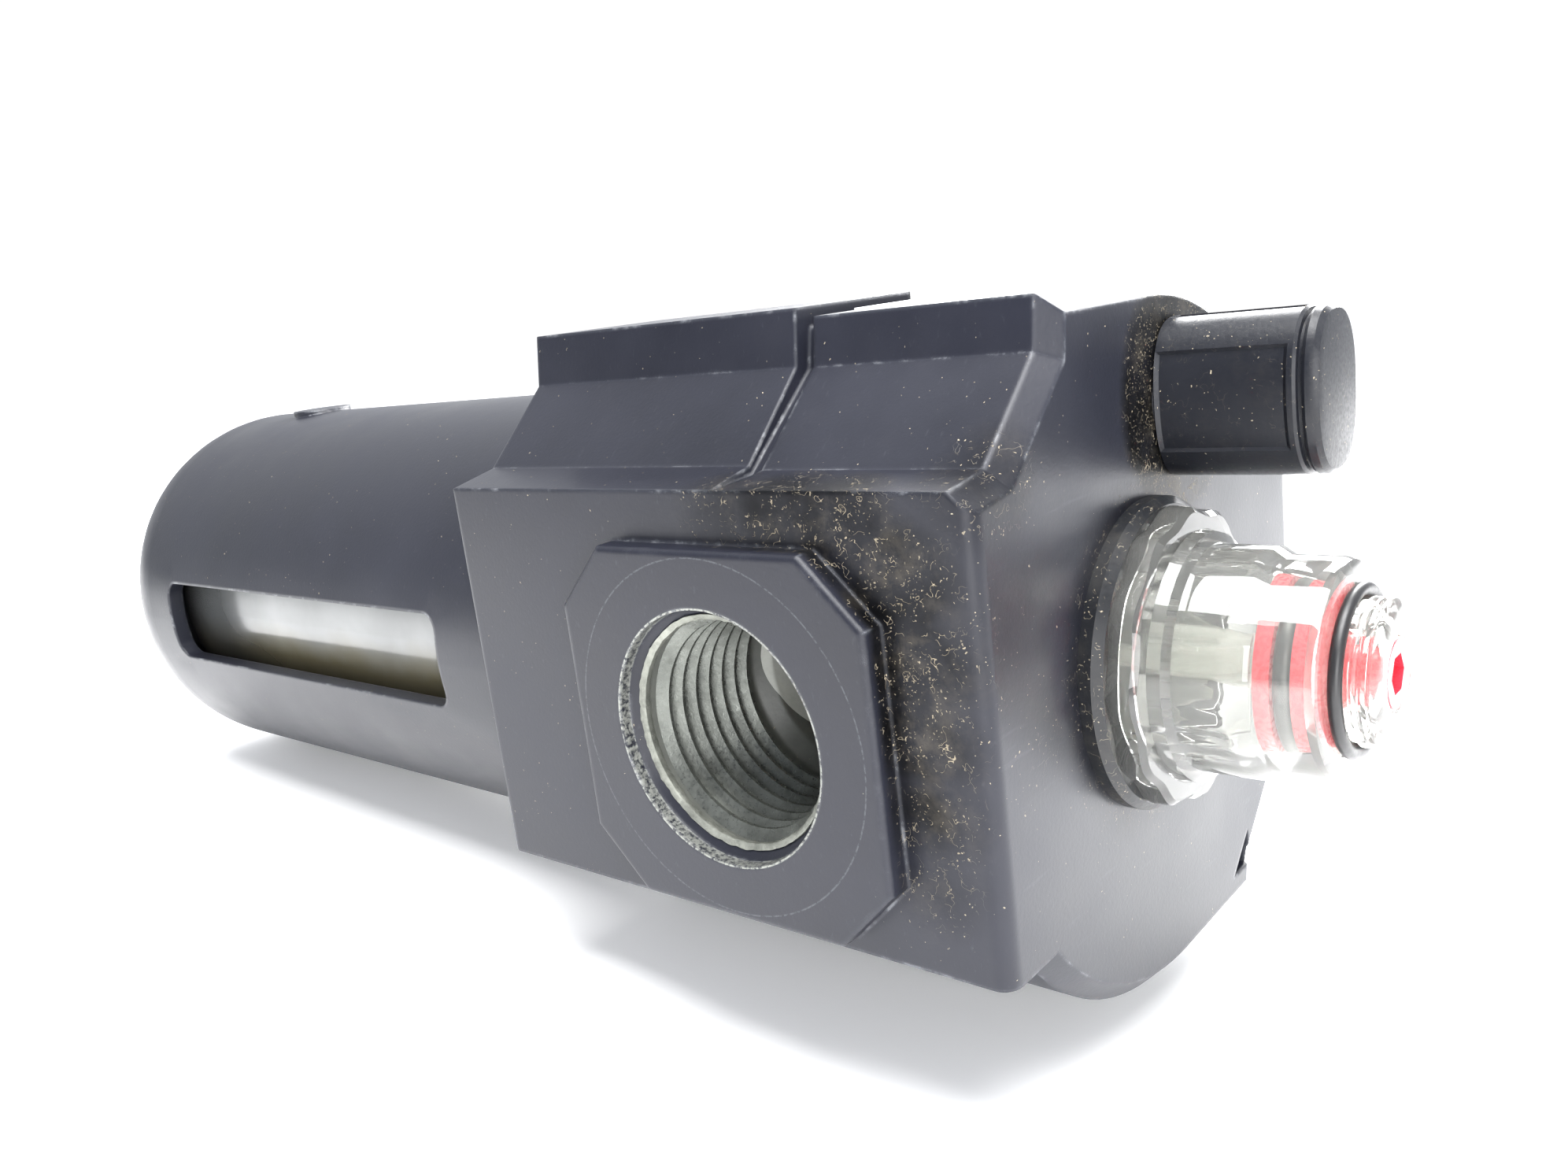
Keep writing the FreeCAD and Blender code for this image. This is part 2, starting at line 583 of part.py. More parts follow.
def make_siphon():
    """Tube, check foot with its ball, and strainer, hung from the head."""
    bottom = "-siphon_bottom"
    turned("siphon_tube", [
        ("siphon_bore", bottom), ("siphon_radius", bottom),
        ("siphon_radius", f"{CEILING} + siphon_socket"), ("siphon_bore", f"{CEILING} + siphon_socket"),
    ], y="siphon_back")
    turned("siphon_foot", [
        ("0.8", f"{bottom} - 5"), ("foot_radius", f"{bottom} - 5"), ("foot_radius", f"{bottom} + 4"),
        ("siphon_radius", f"{bottom} + 4"), ("siphon_radius", bottom), ("1.8", bottom),
        ("1.8", f"{bottom} - 4"), ("0.8", f"{bottom} - 4"),
    ], y="siphon_back")
    ball("foot_ball", "1.5", y="siphon_back", z=f"{bottom} - 2.45")
    turned("siphon_strainer", [
        ("0", f"{bottom} - 9"), ("filter_radius", f"{bottom} - 9"), ("filter_radius", f"{bottom} + 2"),
        ("foot_radius", f"{bottom} + 2"), ("foot_radius", f"{bottom} - 7.6"), ("0", f"{bottom} - 7.6"),
    ], y="siphon_back")


def make_bowl():
    inner = "bowl_radius - bowl_wall"
    groove_low = f"{BOWL_RING_Z} - bowl_ring_wire - 0.1"
    groove_high = f"{BOWL_RING_Z} + bowl_ring_wire + 0.1"
    groove_floor = "neck_radius - bowl_ring_wire * 2"
    bowl = turned("bowl", [
        ("drain_radius", BOWL_BOTTOM), ("bowl_radius", BOWL_BOTTOM),
        ("bowl_radius", f"{FLANGE_TOP} - flange_thick"),
        (f"{GUARD_INNER} - end_gap", f"{FLANGE_TOP} - flange_thick"),
        (f"{GUARD_INNER} - end_gap", FLANGE_TOP),
        ("neck_radius", FLANGE_TOP), ("neck_radius", groove_low), (groove_floor, groove_low),
        (groove_floor, groove_high), ("neck_radius", groove_high), ("neck_radius", NECK_TOP),
        (inner, NECK_TOP), (inner, BOWL_FLOOR), ("drain_radius", BOWL_FLOOR),
    ])
    soften(bowl, "Fillet", "bowl_foot_round", "bowl_round", circle_at(bowl, "bowl_radius", BOWL_BOTTOM))
    soften(bowl, "Fillet", "bowl_floor_round", "bowl_round - bowl_wall", circle_at(bowl, inner, BOWL_FLOOR))
    torus("bowl_o_ring", BOWL_RING, "bowl_ring_wire", z=BOWL_RING_Z)


def make_guard():
    inner_foot = "guard_foot_radius - guard_wall"
    guard = turned("bowl_guard", [
        ("guard_hole", "-guard_bottom"), ("guard_foot_radius", "-guard_bottom"),
        ("guard_foot_radius", "guard_round - guard_bottom"), ("guard_radius", "-body_bottom - 1"),
        ("guard_radius", GUARD_TOP), (GUARD_INNER, GUARD_TOP), (GUARD_INNER, LEDGE_TOP),
        (f"{GUARD_INNER} - guard_ledge", LEDGE_TOP),
        (f"{GUARD_INNER} - guard_ledge", f"{LEDGE_TOP} - ledge_thick"),
        (GUARD_INNER, f"{LEDGE_TOP} - ledge_thick - guard_ledge / 2"), (GUARD_INNER, "-body_bottom - 1"),
        (inner_foot, "guard_round - guard_bottom"), (inner_foot, "guard_wall - guard_bottom"),
        ("guard_hole", "guard_wall - guard_bottom"),
    ])
    soften(guard, "Fillet", "guard_foot_round", "guard_round - 0.05",
           circle_at(guard, "guard_foot_radius", "-guard_bottom"))
    soften(guard, "Fillet", "guard_floor_round", "guard_round - guard_wall - 0.05",
           circle_at(guard, inner_foot, "guard_wall - guard_bottom"))
    half = "window_width / 2"
    window = [(half, "-window_bottom"), (half, "-window_top"), (f"-({half})", "-window_top"),
              (f"-({half})", "-window_bottom")]
    pocket(guard, polygon(guard, "guard_window", SIDE, window), "guard_radius * 3", both=True)
    spot = [("0", "-button_low", "button_radius")]
    button = circles(guard, "guard_button", FRONT, spot, "guard_foot_radius - 1")
    pad(guard, button, "1 + button_rise")
    limits = (value("-window_top"), value("-window_bottom"))

    def window_corner(edge):
        spot = local_centre(guard, edge)
        level = close(spot.z, limits[0]) or close(spot.z, limits[1])
        return level and close(edge.BoundBox.YLength, 0) and close(edge.BoundBox.ZLength, 0)

    soften(guard, "Fillet", "window_corner_round", "window_corner", window_corner)


def make_drain():
    """A drain stem through the bowl, held by a nut, with a quarter-turn knob below."""
    flange_low = f"{BOWL_FLOOR} + 1.2"
    turned("drain_stem", [
        ("0", "0.9 - guard_bottom"), ("1.9", "0.9 - guard_bottom"), ("1.9", f"{BOWL_BOTTOM} - 1.9"),
        ("drain_radius", f"{BOWL_BOTTOM} - 1.9"), ("drain_radius", flange_low), ("drain_flange", flange_low),
        ("drain_flange", f"{flange_low} + 1.4"), ("0", f"{flange_low} + 1.4"),
    ])
    turned("drain_seal", [
        ("drain_radius", BOWL_FLOOR), ("drain_flange", BOWL_FLOOR),
        ("drain_flange", flange_low), ("drain_radius", flange_low),
    ])
    nut = new_body("drain_nut")
    pad(nut, polygon(nut, "nut_outline", TOP, hexagon("drain_flange"), f"{BOWL_BOTTOM} - 1.8"), "1.8")
    pocket(nut, circles(nut, "nut_hole", TOP, [("0", "0", "drain_radius")], BOWL_BOTTOM), "3")
    keep(nut, "drain_nut")
    knob_top = f"{BOWL_BOTTOM} - 2.1"
    knob = turned("drain_knob", [
        ("1.96", "0.6 - guard_bottom"), ("drain_knob_radius", "0.6 - guard_bottom"),
        ("drain_knob_radius", knob_top), ("1.96", knob_top),
    ])
    flutes = [(f"(drain_knob_radius + 0.5) * {math.cos(math.radians(45 * k)):.6f}",
               f"(drain_knob_radius + 0.5) * {math.sin(math.radians(45 * k)):.6f}", "1.2") for k in range(8)]
    pocket(knob, circles(knob, "knob_flutes", TOP, flutes, knob_top), "6")


def make_sight_dome():
    base = "body_top + gasket_thick"
    flange_top = f"{base} + dome_flange_thick"
    dome = turned("sight_dome", [
        ("dome_radius - dome_wall", f"{WELL_FLOOR} + 0.4"), ("dome_spigot", f"{WELL_FLOOR} + 0.4"),
        ("dome_spigot", base), ("lobe_radius - 1", base), ("lobe_radius - 1", flange_top),
        ("dome_radius + 0.5", flange_top), ("dome_radius", f"{flange_top} + 0.6"),
        ("dome_radius", "barrel_top"),
        ("crown_radius", "barrel_top + 0.7"), ("crown_radius", "crown_top - 0.6"),
        ("crown_radius - 0.8", "crown_top"), ("neck_outer", "crown_top"), ("neck_outer", "dome_top - 0.5"),
        ("neck_outer - 0.5", "dome_top"), ("screw_stem + thread_play", "dome_top"),
        ("screw_stem + thread_play", "crown_top - 0.2"), ("screw_radius + thread_play", "crown_top - 1.4"),
        ("screw_radius + thread_play", "barrel_top - 0.6"), ("dome_radius - dome_wall", "barrel_top - 1.6"),
    ], x=DOME_X, y=DOME_Y)
    count = int(value("lobe_count"))
    turns = [math.radians(360 * k / count) for k in range(count)]
    bump = "lobe_bump"
    ring = "(lobe_radius + 0.55 - lobe_bump)"
    lobe = circles(dome, "flange_lobe", TOP, [(f"{ring} * {math.cos(turns[0]):.6f}", "0", bump)], base)
    pad(dome, lobe, "dome_flange_thick")
    repeat = dome.newObject("PartDesign::PolarPattern", "flange_lobes")
    repeat.Originals = [dome.Tip]
    repeat.Axis = (lobe, ["N_Axis"])
    repeat.Angle = 360
    repeat.setExpression("Occurrences", bound("lobe_count"))
    dome.Tip = repeat
    doc.recompute()
    turned("dome_gasket", [
        ("dome_spigot + end_gap", "body_top"), ("gasket_radius", "body_top"),
        ("gasket_radius", "body_top + gasket_thick * 0.6"), ("gasket_radius - 0.7", base),
        ("dome_spigot + end_gap", base),
    ], x=DOME_X, y=DOME_Y)
    torus("dome_neck_ring", "neck_outer + 0.55", "0.55", x=DOME_X, y=DOME_Y, z="crown_top + 0.55")
    turned("standpipe", [
        ("siphon_bore", WELL_FLOOR), ("standpipe_radius", WELL_FLOOR),
        ("standpipe_radius", "barrel_top - 2.6"),
        ("siphon_bore", "barrel_top - 2.6"),
    ], x=DOME_X, y=DOME_Y)


def make_adjusting_screw():
    """The drip-rate screw: two discs with a ring between them, and a stem with a hex socket."""
    ring_wire = "0.7"
    ring_z = "barrel_top + 2.5"
    low, high = f"{ring_z} - {ring_wire} - 0.1", f"{ring_z} + {ring_wire} + 0.1"
    floor = f"screw_radius - {ring_wire} * 2"
    foot = "barrel_top + 0.4"
    screw = turned("adjusting_screw", [
        ("0", foot), ("screw_radius", foot), ("screw_radius", low), (floor, low), (floor, high),
        ("screw_radius", high), ("screw_radius", "crown_top - 1.6"), ("screw_stem", "crown_top - 0.4"),
        ("screw_stem", "dome_top - 0.1"), ("0", "dome_top - 0.1"),
    ], x=DOME_X, y=DOME_Y)
    across = "hex_size / 1.7320508"
    pocket(screw, polygon(screw, "hex_socket", TOP, hexagon(across), "dome_top - 0.1"), "2.6")
    torus("adjusting_ring", f"screw_radius - {ring_wire} + 0.04", ring_wire, x=DOME_X, y=DOME_Y, z=ring_z)


def make_fill_plug():
    """An oval thumb grip with finger hollows on a threaded stem."""
    plug = new_body("fill_plug", PLUG_X, PLUG_Y)
    foot = "body_top + 0.15"
    thick, width = "plug_thick / 2", "plug_width / 2"
    quarter = [("1", "0.12"), ("0.93", "0.42"), ("0.74", "0.74"), ("0.44", "0.95"), ("0.12", "1")]
    around = quarter + [(f"-({u})", v) for u, v in reversed(quarter)]
    around = around + [(f"-({u})", f"-({v})") for u, v in quarter]
    around = around + [(u, f"-({v})") for u, v in reversed(quarter)]

    def grip(name, share, low, length):
        """One length of the grip, its plan scaled by share."""
        outline = [(f"{thick} * {u} * {share}", f"{width} * {v} * {share}") for u, v in around]
        pad(plug, polygon(plug, name, TOP, outline, low), length)

    cap = "plug_cap"
    grip("grip_outline", 1, foot, f"plug_height - {cap}")
    grip("neck_outline", 0.93, f"{foot} + plug_height - {cap} - 1", "1.5")
    grip("cap_outline", 1, f"{foot} + plug_height - {cap} + plug_groove", f"{cap} - plug_groove")
    panel = [("3.1", "body_top - 1"), ("3.1", "body_top + plug_height - 3.6"),
             ("-3.1", "body_top + plug_height - 3.6"), ("-3.1", "body_top - 1")]
    near = polygon(plug, "near_panel", SIDE, panel, "plug_thick / 2 - 0.7")
    pocket(plug, near, "5", reverse=True)
    far = polygon(plug, "far_panel", SIDE, panel, "0.7 - plug_thick / 2")
    pocket(plug, far, "5")
    stem_low = "body_top - 11"
    ring_z = "body_top - 2.4"
    head = "plug_stem + plug_collar / 2"
    wire = "plug_seal_wire"
    low, high = f"{ring_z} - {wire} - 0.1", f"{ring_z} + {wire} + 0.1"
    floor = f"{head} - {wire} * 2"
    stem = polygon(plug, "stem_outline", FRONT, [
        ("0", stem_low), (f"{head} - 0.8", stem_low), (head, f"{stem_low} + 0.8"), (head, low), (floor, low),
        (floor, high), (head, high), (head, "body_top - 0.1"), (thick, foot), ("0", foot),
    ])
    spin(plug, stem)
    keep(plug, "fill_plug")
    torus("fill_plug_ring", f"{head} - {wire} + 0.03", wire, x=PLUG_X, y=PLUG_Y, z=ring_z)


make_head()
make_label()
make_flow_sensor()
make_bowl_check_valve()
make_siphon()
make_bowl()
make_guard()
make_drain()
make_sight_dome()
make_adjusting_screw()
make_fill_plug()
doc.recompute()

for item in doc.Objects:
    if "Invalid" in item.State or "Error" in item.State:
        raise RuntimeError(f"{item.Name} is in state {item.State}")
for node in nodes:
    if node.Shape.isNull() or not node.Shape.isValid():
        raise RuntimeError(f"{node.Label} has no valid shape")

os.makedirs("parts", exist_ok=True)
for node in nodes:
    node.Shape.exportStep(f"parts/{node.Label}.step")
    print(f"{node.Label}: {len(node.Shape.Solids)} solid, {node.Shape.Volume:.1f} mm3")
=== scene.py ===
import json
import math
import bpy
from mathutils import Matrix, Vector


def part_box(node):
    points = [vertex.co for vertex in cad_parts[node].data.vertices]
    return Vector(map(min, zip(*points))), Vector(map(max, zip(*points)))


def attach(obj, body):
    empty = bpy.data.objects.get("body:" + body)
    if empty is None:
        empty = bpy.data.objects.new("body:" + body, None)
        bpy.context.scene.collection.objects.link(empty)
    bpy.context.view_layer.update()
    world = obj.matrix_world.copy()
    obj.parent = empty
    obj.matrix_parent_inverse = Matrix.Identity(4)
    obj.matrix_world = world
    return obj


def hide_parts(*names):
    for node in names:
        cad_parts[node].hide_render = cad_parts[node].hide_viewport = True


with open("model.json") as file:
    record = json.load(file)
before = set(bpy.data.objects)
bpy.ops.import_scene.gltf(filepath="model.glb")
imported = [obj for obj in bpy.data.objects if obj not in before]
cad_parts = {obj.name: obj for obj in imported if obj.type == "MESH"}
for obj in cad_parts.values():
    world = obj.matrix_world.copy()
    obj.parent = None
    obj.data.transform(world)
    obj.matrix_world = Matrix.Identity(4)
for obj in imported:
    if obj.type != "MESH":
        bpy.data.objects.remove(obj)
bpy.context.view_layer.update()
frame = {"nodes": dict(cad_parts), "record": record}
nodes = frame["nodes"]
mounts = {m["name"]: m for m in frame["record"]["mounts"]}
mm = 0.001


def middle(node):
    low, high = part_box(node)
    return (Vector(low) + Vector(high)) / 2


headLow, headHigh = (Vector(v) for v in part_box("head"))
bowlAxis = middle("bowl")
domeAxis = middle("standpipe")
nearX = headHigh.x
plugAxis = middle("fill_plug_ring")
print("frame loaded")

# camera
lookFrom = {"place": Vector((0.13872, -0.03640, 0.07413)), "target": Vector((0.04362, -0.00719, -0.00955)),
            "roll": 94.1, "lens": 29.41}
bpy.ops.object.camera_add(location=lookFrom["place"])
camera = bpy.context.object
camera.name = "mainCamera"
camera.rotation_mode = "QUATERNION"
gaze = (lookFrom["target"] - lookFrom["place"]).to_track_quat("-Z", "Y")
camera.rotation_quaternion = gaze @ Matrix.Rotation(math.radians(lookFrom["roll"]), 4, "Z").to_quaternion()
camera.data.lens = lookFrom["lens"]
camera.data.sensor_width = 36
camera.data.clip_start = 0.002
bpy.context.scene.camera = camera


# shader helpers

# A shader node with its settings, each socket given a value or linked from another socket.
def put(tree, kind, sockets=None, **settings):
    node = tree.nodes.new(kind)
    for key, setting in settings.items():
        setattr(node, key, setting)
    for key, content in (sockets or {}).items():
        if isinstance(content, bpy.types.NodeSocket):
            tree.links.new(content, node.inputs[key])
        else:
            node.inputs[key].default_value = content
    return node


def mathNode(tree, operation, a, b=0.0):
    return put(tree, "ShaderNodeMath", {0: a, 1: b}, operation=operation).outputs[0]


def vectorMath(tree, operation, a, b=(0, 0, 0), output="Vector"):
    return put(tree, "ShaderNodeVectorMath", {0: a, 1: b}, operation=operation).outputs[output]


def ramp(tree, source, low, high, outLow=0.0, outHigh=1.0):
    sockets = {"Value": source, "From Min": low, "From Max": high, "To Min": outLow, "To Max": outHigh}
    return put(tree, "ShaderNodeMapRange", sockets, clamp=True).outputs[0]


def blend(tree, share, a, b):
    mix = put(tree, "ShaderNodeMix", {0: share, 6: a, 7: b}, data_type="RGBA")
    return mix.outputs[2]


def noise(tree, vector, scale, detail=3.0, roughness=0.55):
    sockets = {"Vector": vector, "Scale": scale, "Detail": detail, "Roughness": roughness}
    return put(tree, "ShaderNodeTexNoise", sockets).outputs["Fac"]


def newGroup(name, inputs, outputs):
    tree = bpy.data.node_groups.new(name, "ShaderNodeTree")
    for label, kind in inputs:
        tree.interface.new_socket(name=label, in_out="INPUT", socket_type=kind)
    for label, kind in outputs:
        tree.interface.new_socket(name=label, in_out="OUTPUT", socket_type=kind)
    return tree, tree.nodes.new("NodeGroupInput"), tree.nodes.new("NodeGroupOutput")


# lint: scattered grains and thin fibres, thicker where Amount is high
lintTree, lintIn, lintOut = newGroup(
    "lint", [("Vector", "NodeSocketVector"), ("Amount", "NodeSocketFloat")],
    [("Mask", "NodeSocketFloat"), ("Colour", "NodeSocketColor")])
where = lintIn.outputs["Vector"]
amount = lintIn.outputs["Amount"]
warp = put(lintTree, "ShaderNodeTexNoise", {"Vector": where, "Scale": 1500.0, "Detail": 2.0}).outputs["Color"]
bendBy = (0.0007, 0.0007, 0.0007)
bent = vectorMath(lintTree, "ADD", where, vectorMath(lintTree, "MULTIPLY", warp, bendBy))
grainCells = put(lintTree, "ShaderNodeTexVoronoi", {"Vector": bent, "Scale": 5200.0})
grainTones = put(lintTree, "ShaderNodeSeparateColor", {0: grainCells.outputs["Color"]})
clump = ramp(lintTree, noise(lintTree, where, 330.0, 4.0, 0.7), 0.40, 0.68)
grainLimit = mathNode(lintTree, "MULTIPLY", mathNode(lintTree, "MULTIPLY", amount, clump), 0.75)
grainPick = mathNode(lintTree, "LESS_THAN", grainTones.outputs[0], grainLimit)
grainReach = ramp(lintTree, grainTones.outputs[1], 0.0, 1.0, 0.16, 0.42)
grainDisc = mathNode(lintTree, "LESS_THAN", grainCells.outputs["Distance"], grainReach)
grains = mathNode(lintTree, "MULTIPLY", grainPick, grainDisc)
grains = mathNode(lintTree, "MULTIPLY", grains, ramp(lintTree, grainTones.outputs[2], 0.0, 1.0, 0.35, 1.0))


# Thin curly threads along the level lines of a noise.
def fibres(scale, pickScale, level, wide):
    field = noise(lintTree, where, scale, 2.0)
    line = mathNode(lintTree, "ABSOLUTE", mathNode(lintTree, "SUBTRACT", field, level))
    picked = ramp(lintTree, noise(lintTree, where, pickScale, 1.0), 0.56, 0.60)
    return mathNode(lintTree, "MULTIPLY", ramp(lintTree, line, wide, wide * 0.3), picked)


strands = mathNode(lintTree, "MAXIMUM", fibres(480.0, 760.0, 0.47, 0.006), fibres(760.0, 1000.0, 0.53, 0.009))
strands = mathNode(lintTree, "MULTIPLY", strands, ramp(lintTree, amount, 0.08, 0.45))
film = mathNode(lintTree, "MULTIPLY", ramp(lintTree, noise(lintTree, where, 260.0, 6.0, 0.7), 0.5, 0.75),
                mathNode(lintTree, "MULTIPLY", amount, 0.22))
both = mathNode(lintTree, "MAXIMUM", mathNode(lintTree, "MAXIMUM", grains, strands), film)
lintTree.links.new(both, lintOut.inputs["Mask"])
lintTone = blend(lintTree, noise(lintTree, where, 700.0), (0.15, 0.125, 0.085, 1), (0.45, 0.39, 0.29, 1))
lintTree.links.new(lintTone, lintOut.inputs["Colour"])

# skin: broad tone, fine grain and faint rubbing that every hard surface here shares
skinTree, skinIn, skinOut = newGroup(
    "skin", [("Vector", "NodeSocketVector")],
    [("Broad", "NodeSocketFloat"), ("Fine", "NodeSocketFloat"), ("Rub", "NodeSocketFloat")])
where = skinIn.outputs["Vector"]
skinTree.links.new(noise(skinTree, where, 55.0, 4.0), skinOut.inputs["Broad"])
skinTree.links.new(noise(skinTree, where, 2600.0, 2.0), skinOut.inputs["Fine"])
rubbing = {"Vector": where, "Rotation": (0.4, 0.9, 0.3), "Scale": (90, 900, 2600)}
stretched = put(skinTree, "ShaderNodeMapping", rubbing)
rub = noise(skinTree, stretched.outputs[0], 1.0, 4.0, 0.6)
skinTree.links.new(ramp(skinTree, rub, 0.63, 0.74), skinOut.inputs["Rub"])


# An empty Principled material: its tree, the shader, the object coordinates and the shared skin.
def surface(name):
    material = bpy.data.materials.new(name)
    material.use_nodes = True
    tree = material.node_tree
    shader = tree.nodes["Principled BSDF"]
    spot = tree.nodes.new("ShaderNodeTexCoord").outputs["Object"]
    skin = put(tree, "ShaderNodeGroup", node_tree=skinTree)
    tree.links.new(spot, skin.inputs["Vector"])
    return material, tree, shader, spot, skin


# 1 within inner of a point, falling to 0 at outer.
def closeness(tree, spot, centre, inner, outer):
    return ramp(tree, vectorMath(tree, "DISTANCE", spot, tuple(centre), "Value"), outer, inner)


def bump(tree, height, strength, distance, below=None):
    sockets = {"Height": height, "Strength": strength, "Distance": distance}
    if below is not None:
        sockets["Normal"] = below
    return put(tree, "ShaderNodeBump", sockets).outputs["Normal"]


# Lays lint over a colour; returns the new colour and the lint's mask.
def lintOver(tree, spot, amountSocket, colour):
    lint = put(tree, "ShaderNodeGroup", node_tree=lintTree)
    tree.links.new(spot, lint.inputs["Vector"])
    if isinstance(amountSocket, bpy.types.NodeSocket):
        tree.links.new(amountSocket, lint.inputs["Amount"])
    else:
        lint.inputs["Amount"].default_value = amountSocket
    return blend(tree, lint.outputs["Mask"], colour, lint.outputs["Colour"]), lint.outputs["Mask"]


# Distance from a straight axis through centre, and depth along it; across has its 0 along the axis.
def aroundAxis(tree, spot, centre, across):
    offset = vectorMath(tree, "SUBTRACT", spot, tuple(centre))
    distance = vectorMath(tree, "LENGTH", vectorMath(tree, "MULTIPLY", offset, across), output="Value")
    along = tuple(1.0 - c for c in across)
    return distance, vectorMath(tree, "DOT_PRODUCT", offset, along, "Value")


edgeRounding = 0.6 * mm


# Semi-matt black enamel, with a painted highlight along every edge. Its spot list holds (point, inner, outer,
# amount) where lint has gathered and dark grime, partly painted shade, lies; bare lists (centre, across,
# radius, start, end, colours) of round machined walls that carry no paint, and rings lists (centre, across,
# radius, width, least depth, amount, colour) of worn circles and of turned circles whose lighter line is
# painted sheen.
def enamel(name, dark, light, gloss, shine, dustAndShade, bare, rings):
    material, tree, shader, spot, skin = surface(name)
    tone = blend(tree, ramp(tree, skin.outputs["Broad"], 0.3, 0.7), dark, light)
    tone = blend(tree, mathNode(tree, "MULTIPLY", skin.outputs["Rub"], 0.10), tone, (0.10, 0.105, 0.12, 1))
    rounded = put(tree, "ShaderNodeBevel", {"Radius": edgeRounding}, samples=6).outputs[0]
    flat = tree.nodes.new("ShaderNodeNewGeometry").outputs["True Normal"]
    edge = ramp(tree, vectorMath(tree, "DOT_PRODUCT", rounded, flat, "Value"), 0.985, 0.90)
    worn = mathNode(tree, "MULTIPLY", edge, ramp(tree, noise(tree, spot, 420.0, 5.0, 0.7), 0.52, 0.68))
    # painted highlight: every edge is lightened evenly, standing in for the light caught by the rounded edges
    tone = blend(tree, mathNode(tree, "MULTIPLY", edge, 0.35), tone, (0.060, 0.064, 0.078, 1))
    tone = blend(tree, mathNode(tree, "MULTIPLY", worn, 0.75), tone, (0.26, 0.27, 0.29, 1))
    total = 0.02
    for centre, inner, outer, share in dustAndShade:
        patch = mathNode(tree, "MULTIPLY", closeness(tree, spot, centre, inner, outer), share)
        total = mathNode(tree, "MAXIMUM", patch, total)
    sideways = put(tree, "ShaderNodeSeparateXYZ", {0: spot}).outputs["X"]
    total = mathNode(tree, "MULTIPLY", total, ramp(tree, sideways, nearX - 0.0006, nearX - 0.0014, 0.05, 1.0))
    stain = noise(tree, spot, 300.0, 5.0, 0.7)
    for centre, across, radius, start, end, coats in bare:
        distance, depth = aroundAxis(tree, spot, centre, across)
        zone = mathNode(tree, "MULTIPLY", mathNode(tree, "LESS_THAN", distance, radius),
                        mathNode(tree, "MULTIPLY", mathNode(tree, "GREATER_THAN", depth, start),
                                 mathNode(tree, "LESS_THAN", depth, end)))
        tone = blend(tree, zone, tone, blend(tree, stain, coats[0], coats[1]))
    for centre, across, radius, width, leastDepth, share, paint in rings:
        distance, depth = aroundAxis(tree, spot, centre, across)
        far = mathNode(tree, "GREATER_THAN", mathNode(tree, "ABSOLUTE", depth), leastDepth)
        gap = mathNode(tree, "ABSOLUTE", mathNode(tree, "SUBTRACT", distance, radius))
        band = mathNode(tree, "MULTIPLY", ramp(tree, gap, width, width * 0.4), far)
        broken = ramp(tree, noise(tree, spot, 2600.0, 4.0, 0.7), 0.40, 0.56)
        broken = mathNode(tree, "MULTIPLY", broken, share)
        tone = blend(tree, mathNode(tree, "MULTIPLY", band, broken), tone, paint)
    # grime and painted shade: a near-black film, also fed into Metallic to dull the reflection, darkens the
    # paint around the boss, plug and dome where lint gathers
    grimeAndShade = ramp(tree, total, 0.06, 0.45)
    cloudy = ramp(tree, noise(tree, spot, 160.0, 4.0), 0.30, 0.60, 0.40, 0.85)
    grimeAndShade = mathNode(tree, "MULTIPLY", grimeAndShade, cloudy)
    tree.links.new(grimeAndShade, shader.inputs["Metallic"])
    tone = blend(tree, grimeAndShade, tone, (0.008, 0.008, 0.008, 1))
    tone, mask = lintOver(tree, spot, total, tone)
    tree.links.new(tone, shader.inputs["Base Color"])
    finish = ramp(tree, skin.outputs["Broad"], 0.3, 0.7, gloss - 0.05, gloss + 0.07)
    finish = mathNode(tree, "ADD", finish, mathNode(tree, "MULTIPLY", mask, 0.4))
    tree.links.new(finish, shader.inputs["Roughness"])
    grain = bump(tree, skin.outputs["Fine"], 0.25, 0.00004, rounded)
    tree.links.new(bump(tree, mask, 0.5, 0.00012, grain), shader.inputs["Normal"])
    shader.inputs["Specular IOR Level"].default_value = shine
    return material


# spots where lint gathers; the same spots darken the paint with grime that is partly painted shade at the
# feet of the plug, dome and boss
dustAndShadeSpots = [
    ((plugAxis.x, plugAxis.y, headHigh.z), 0.0080, 0.0120, 1.0),
    ((domeAxis.x, domeAxis.y, headHigh.z), 0.0145, 0.0180, 0.22),
    ((nearX - 0.006, -0.0220, 0.0255), 0.0020, 0.0080, 0.30),
    ((nearX - 0.010, 0.0000, 0.0275), 0.0020, 0.0090, 0.12),
    ((nearX - 0.002, -0.0080, 0.0240), 0.0020, 0.0110, 0.14),
]
# round the near boss: (y, z, amount), along its front edge and down its dome side
for across, up, share in ((-0.0200, 0.0020, 0.35), (-0.0200, 0.0080, 0.65), (-0.0185, 0.0140, 0.80),
                          (-0.0140, 0.0190, 0.90), (-0.0080, 0.0200, 0.80), (-0.0020, 0.0200, 0.70),
                          (0.0040, 0.0200, 0.50), (0.0100, 0.0200, 0.28)):
    dustAndShadeSpots.append(((nearX - 0.002, across, up), 0.0005, 0.0068, share))
portReach = mounts["outlet_port"]["dims"]["r_mm"] * mm + 0.0003
portMiddle = ((headLow.x + headHigh.x) / 2, 0.0, 0.0)
roundX, roundZ = (0, 1, 1), (1, 1, 0)
faceDepth = 0.0318
bareWalls = [
    (portMiddle, roundX, portReach, -faceDepth, faceDepth,
     ((0.050, 0.052, 0.048, 1), (0.14, 0.145, 0.13, 1))),
    (domeAxis, roundZ, 0.0122, -0.1, 0.1, ((0.30, 0.31, 0.28, 1), (0.62, 0.63, 0.58, 1))),
]
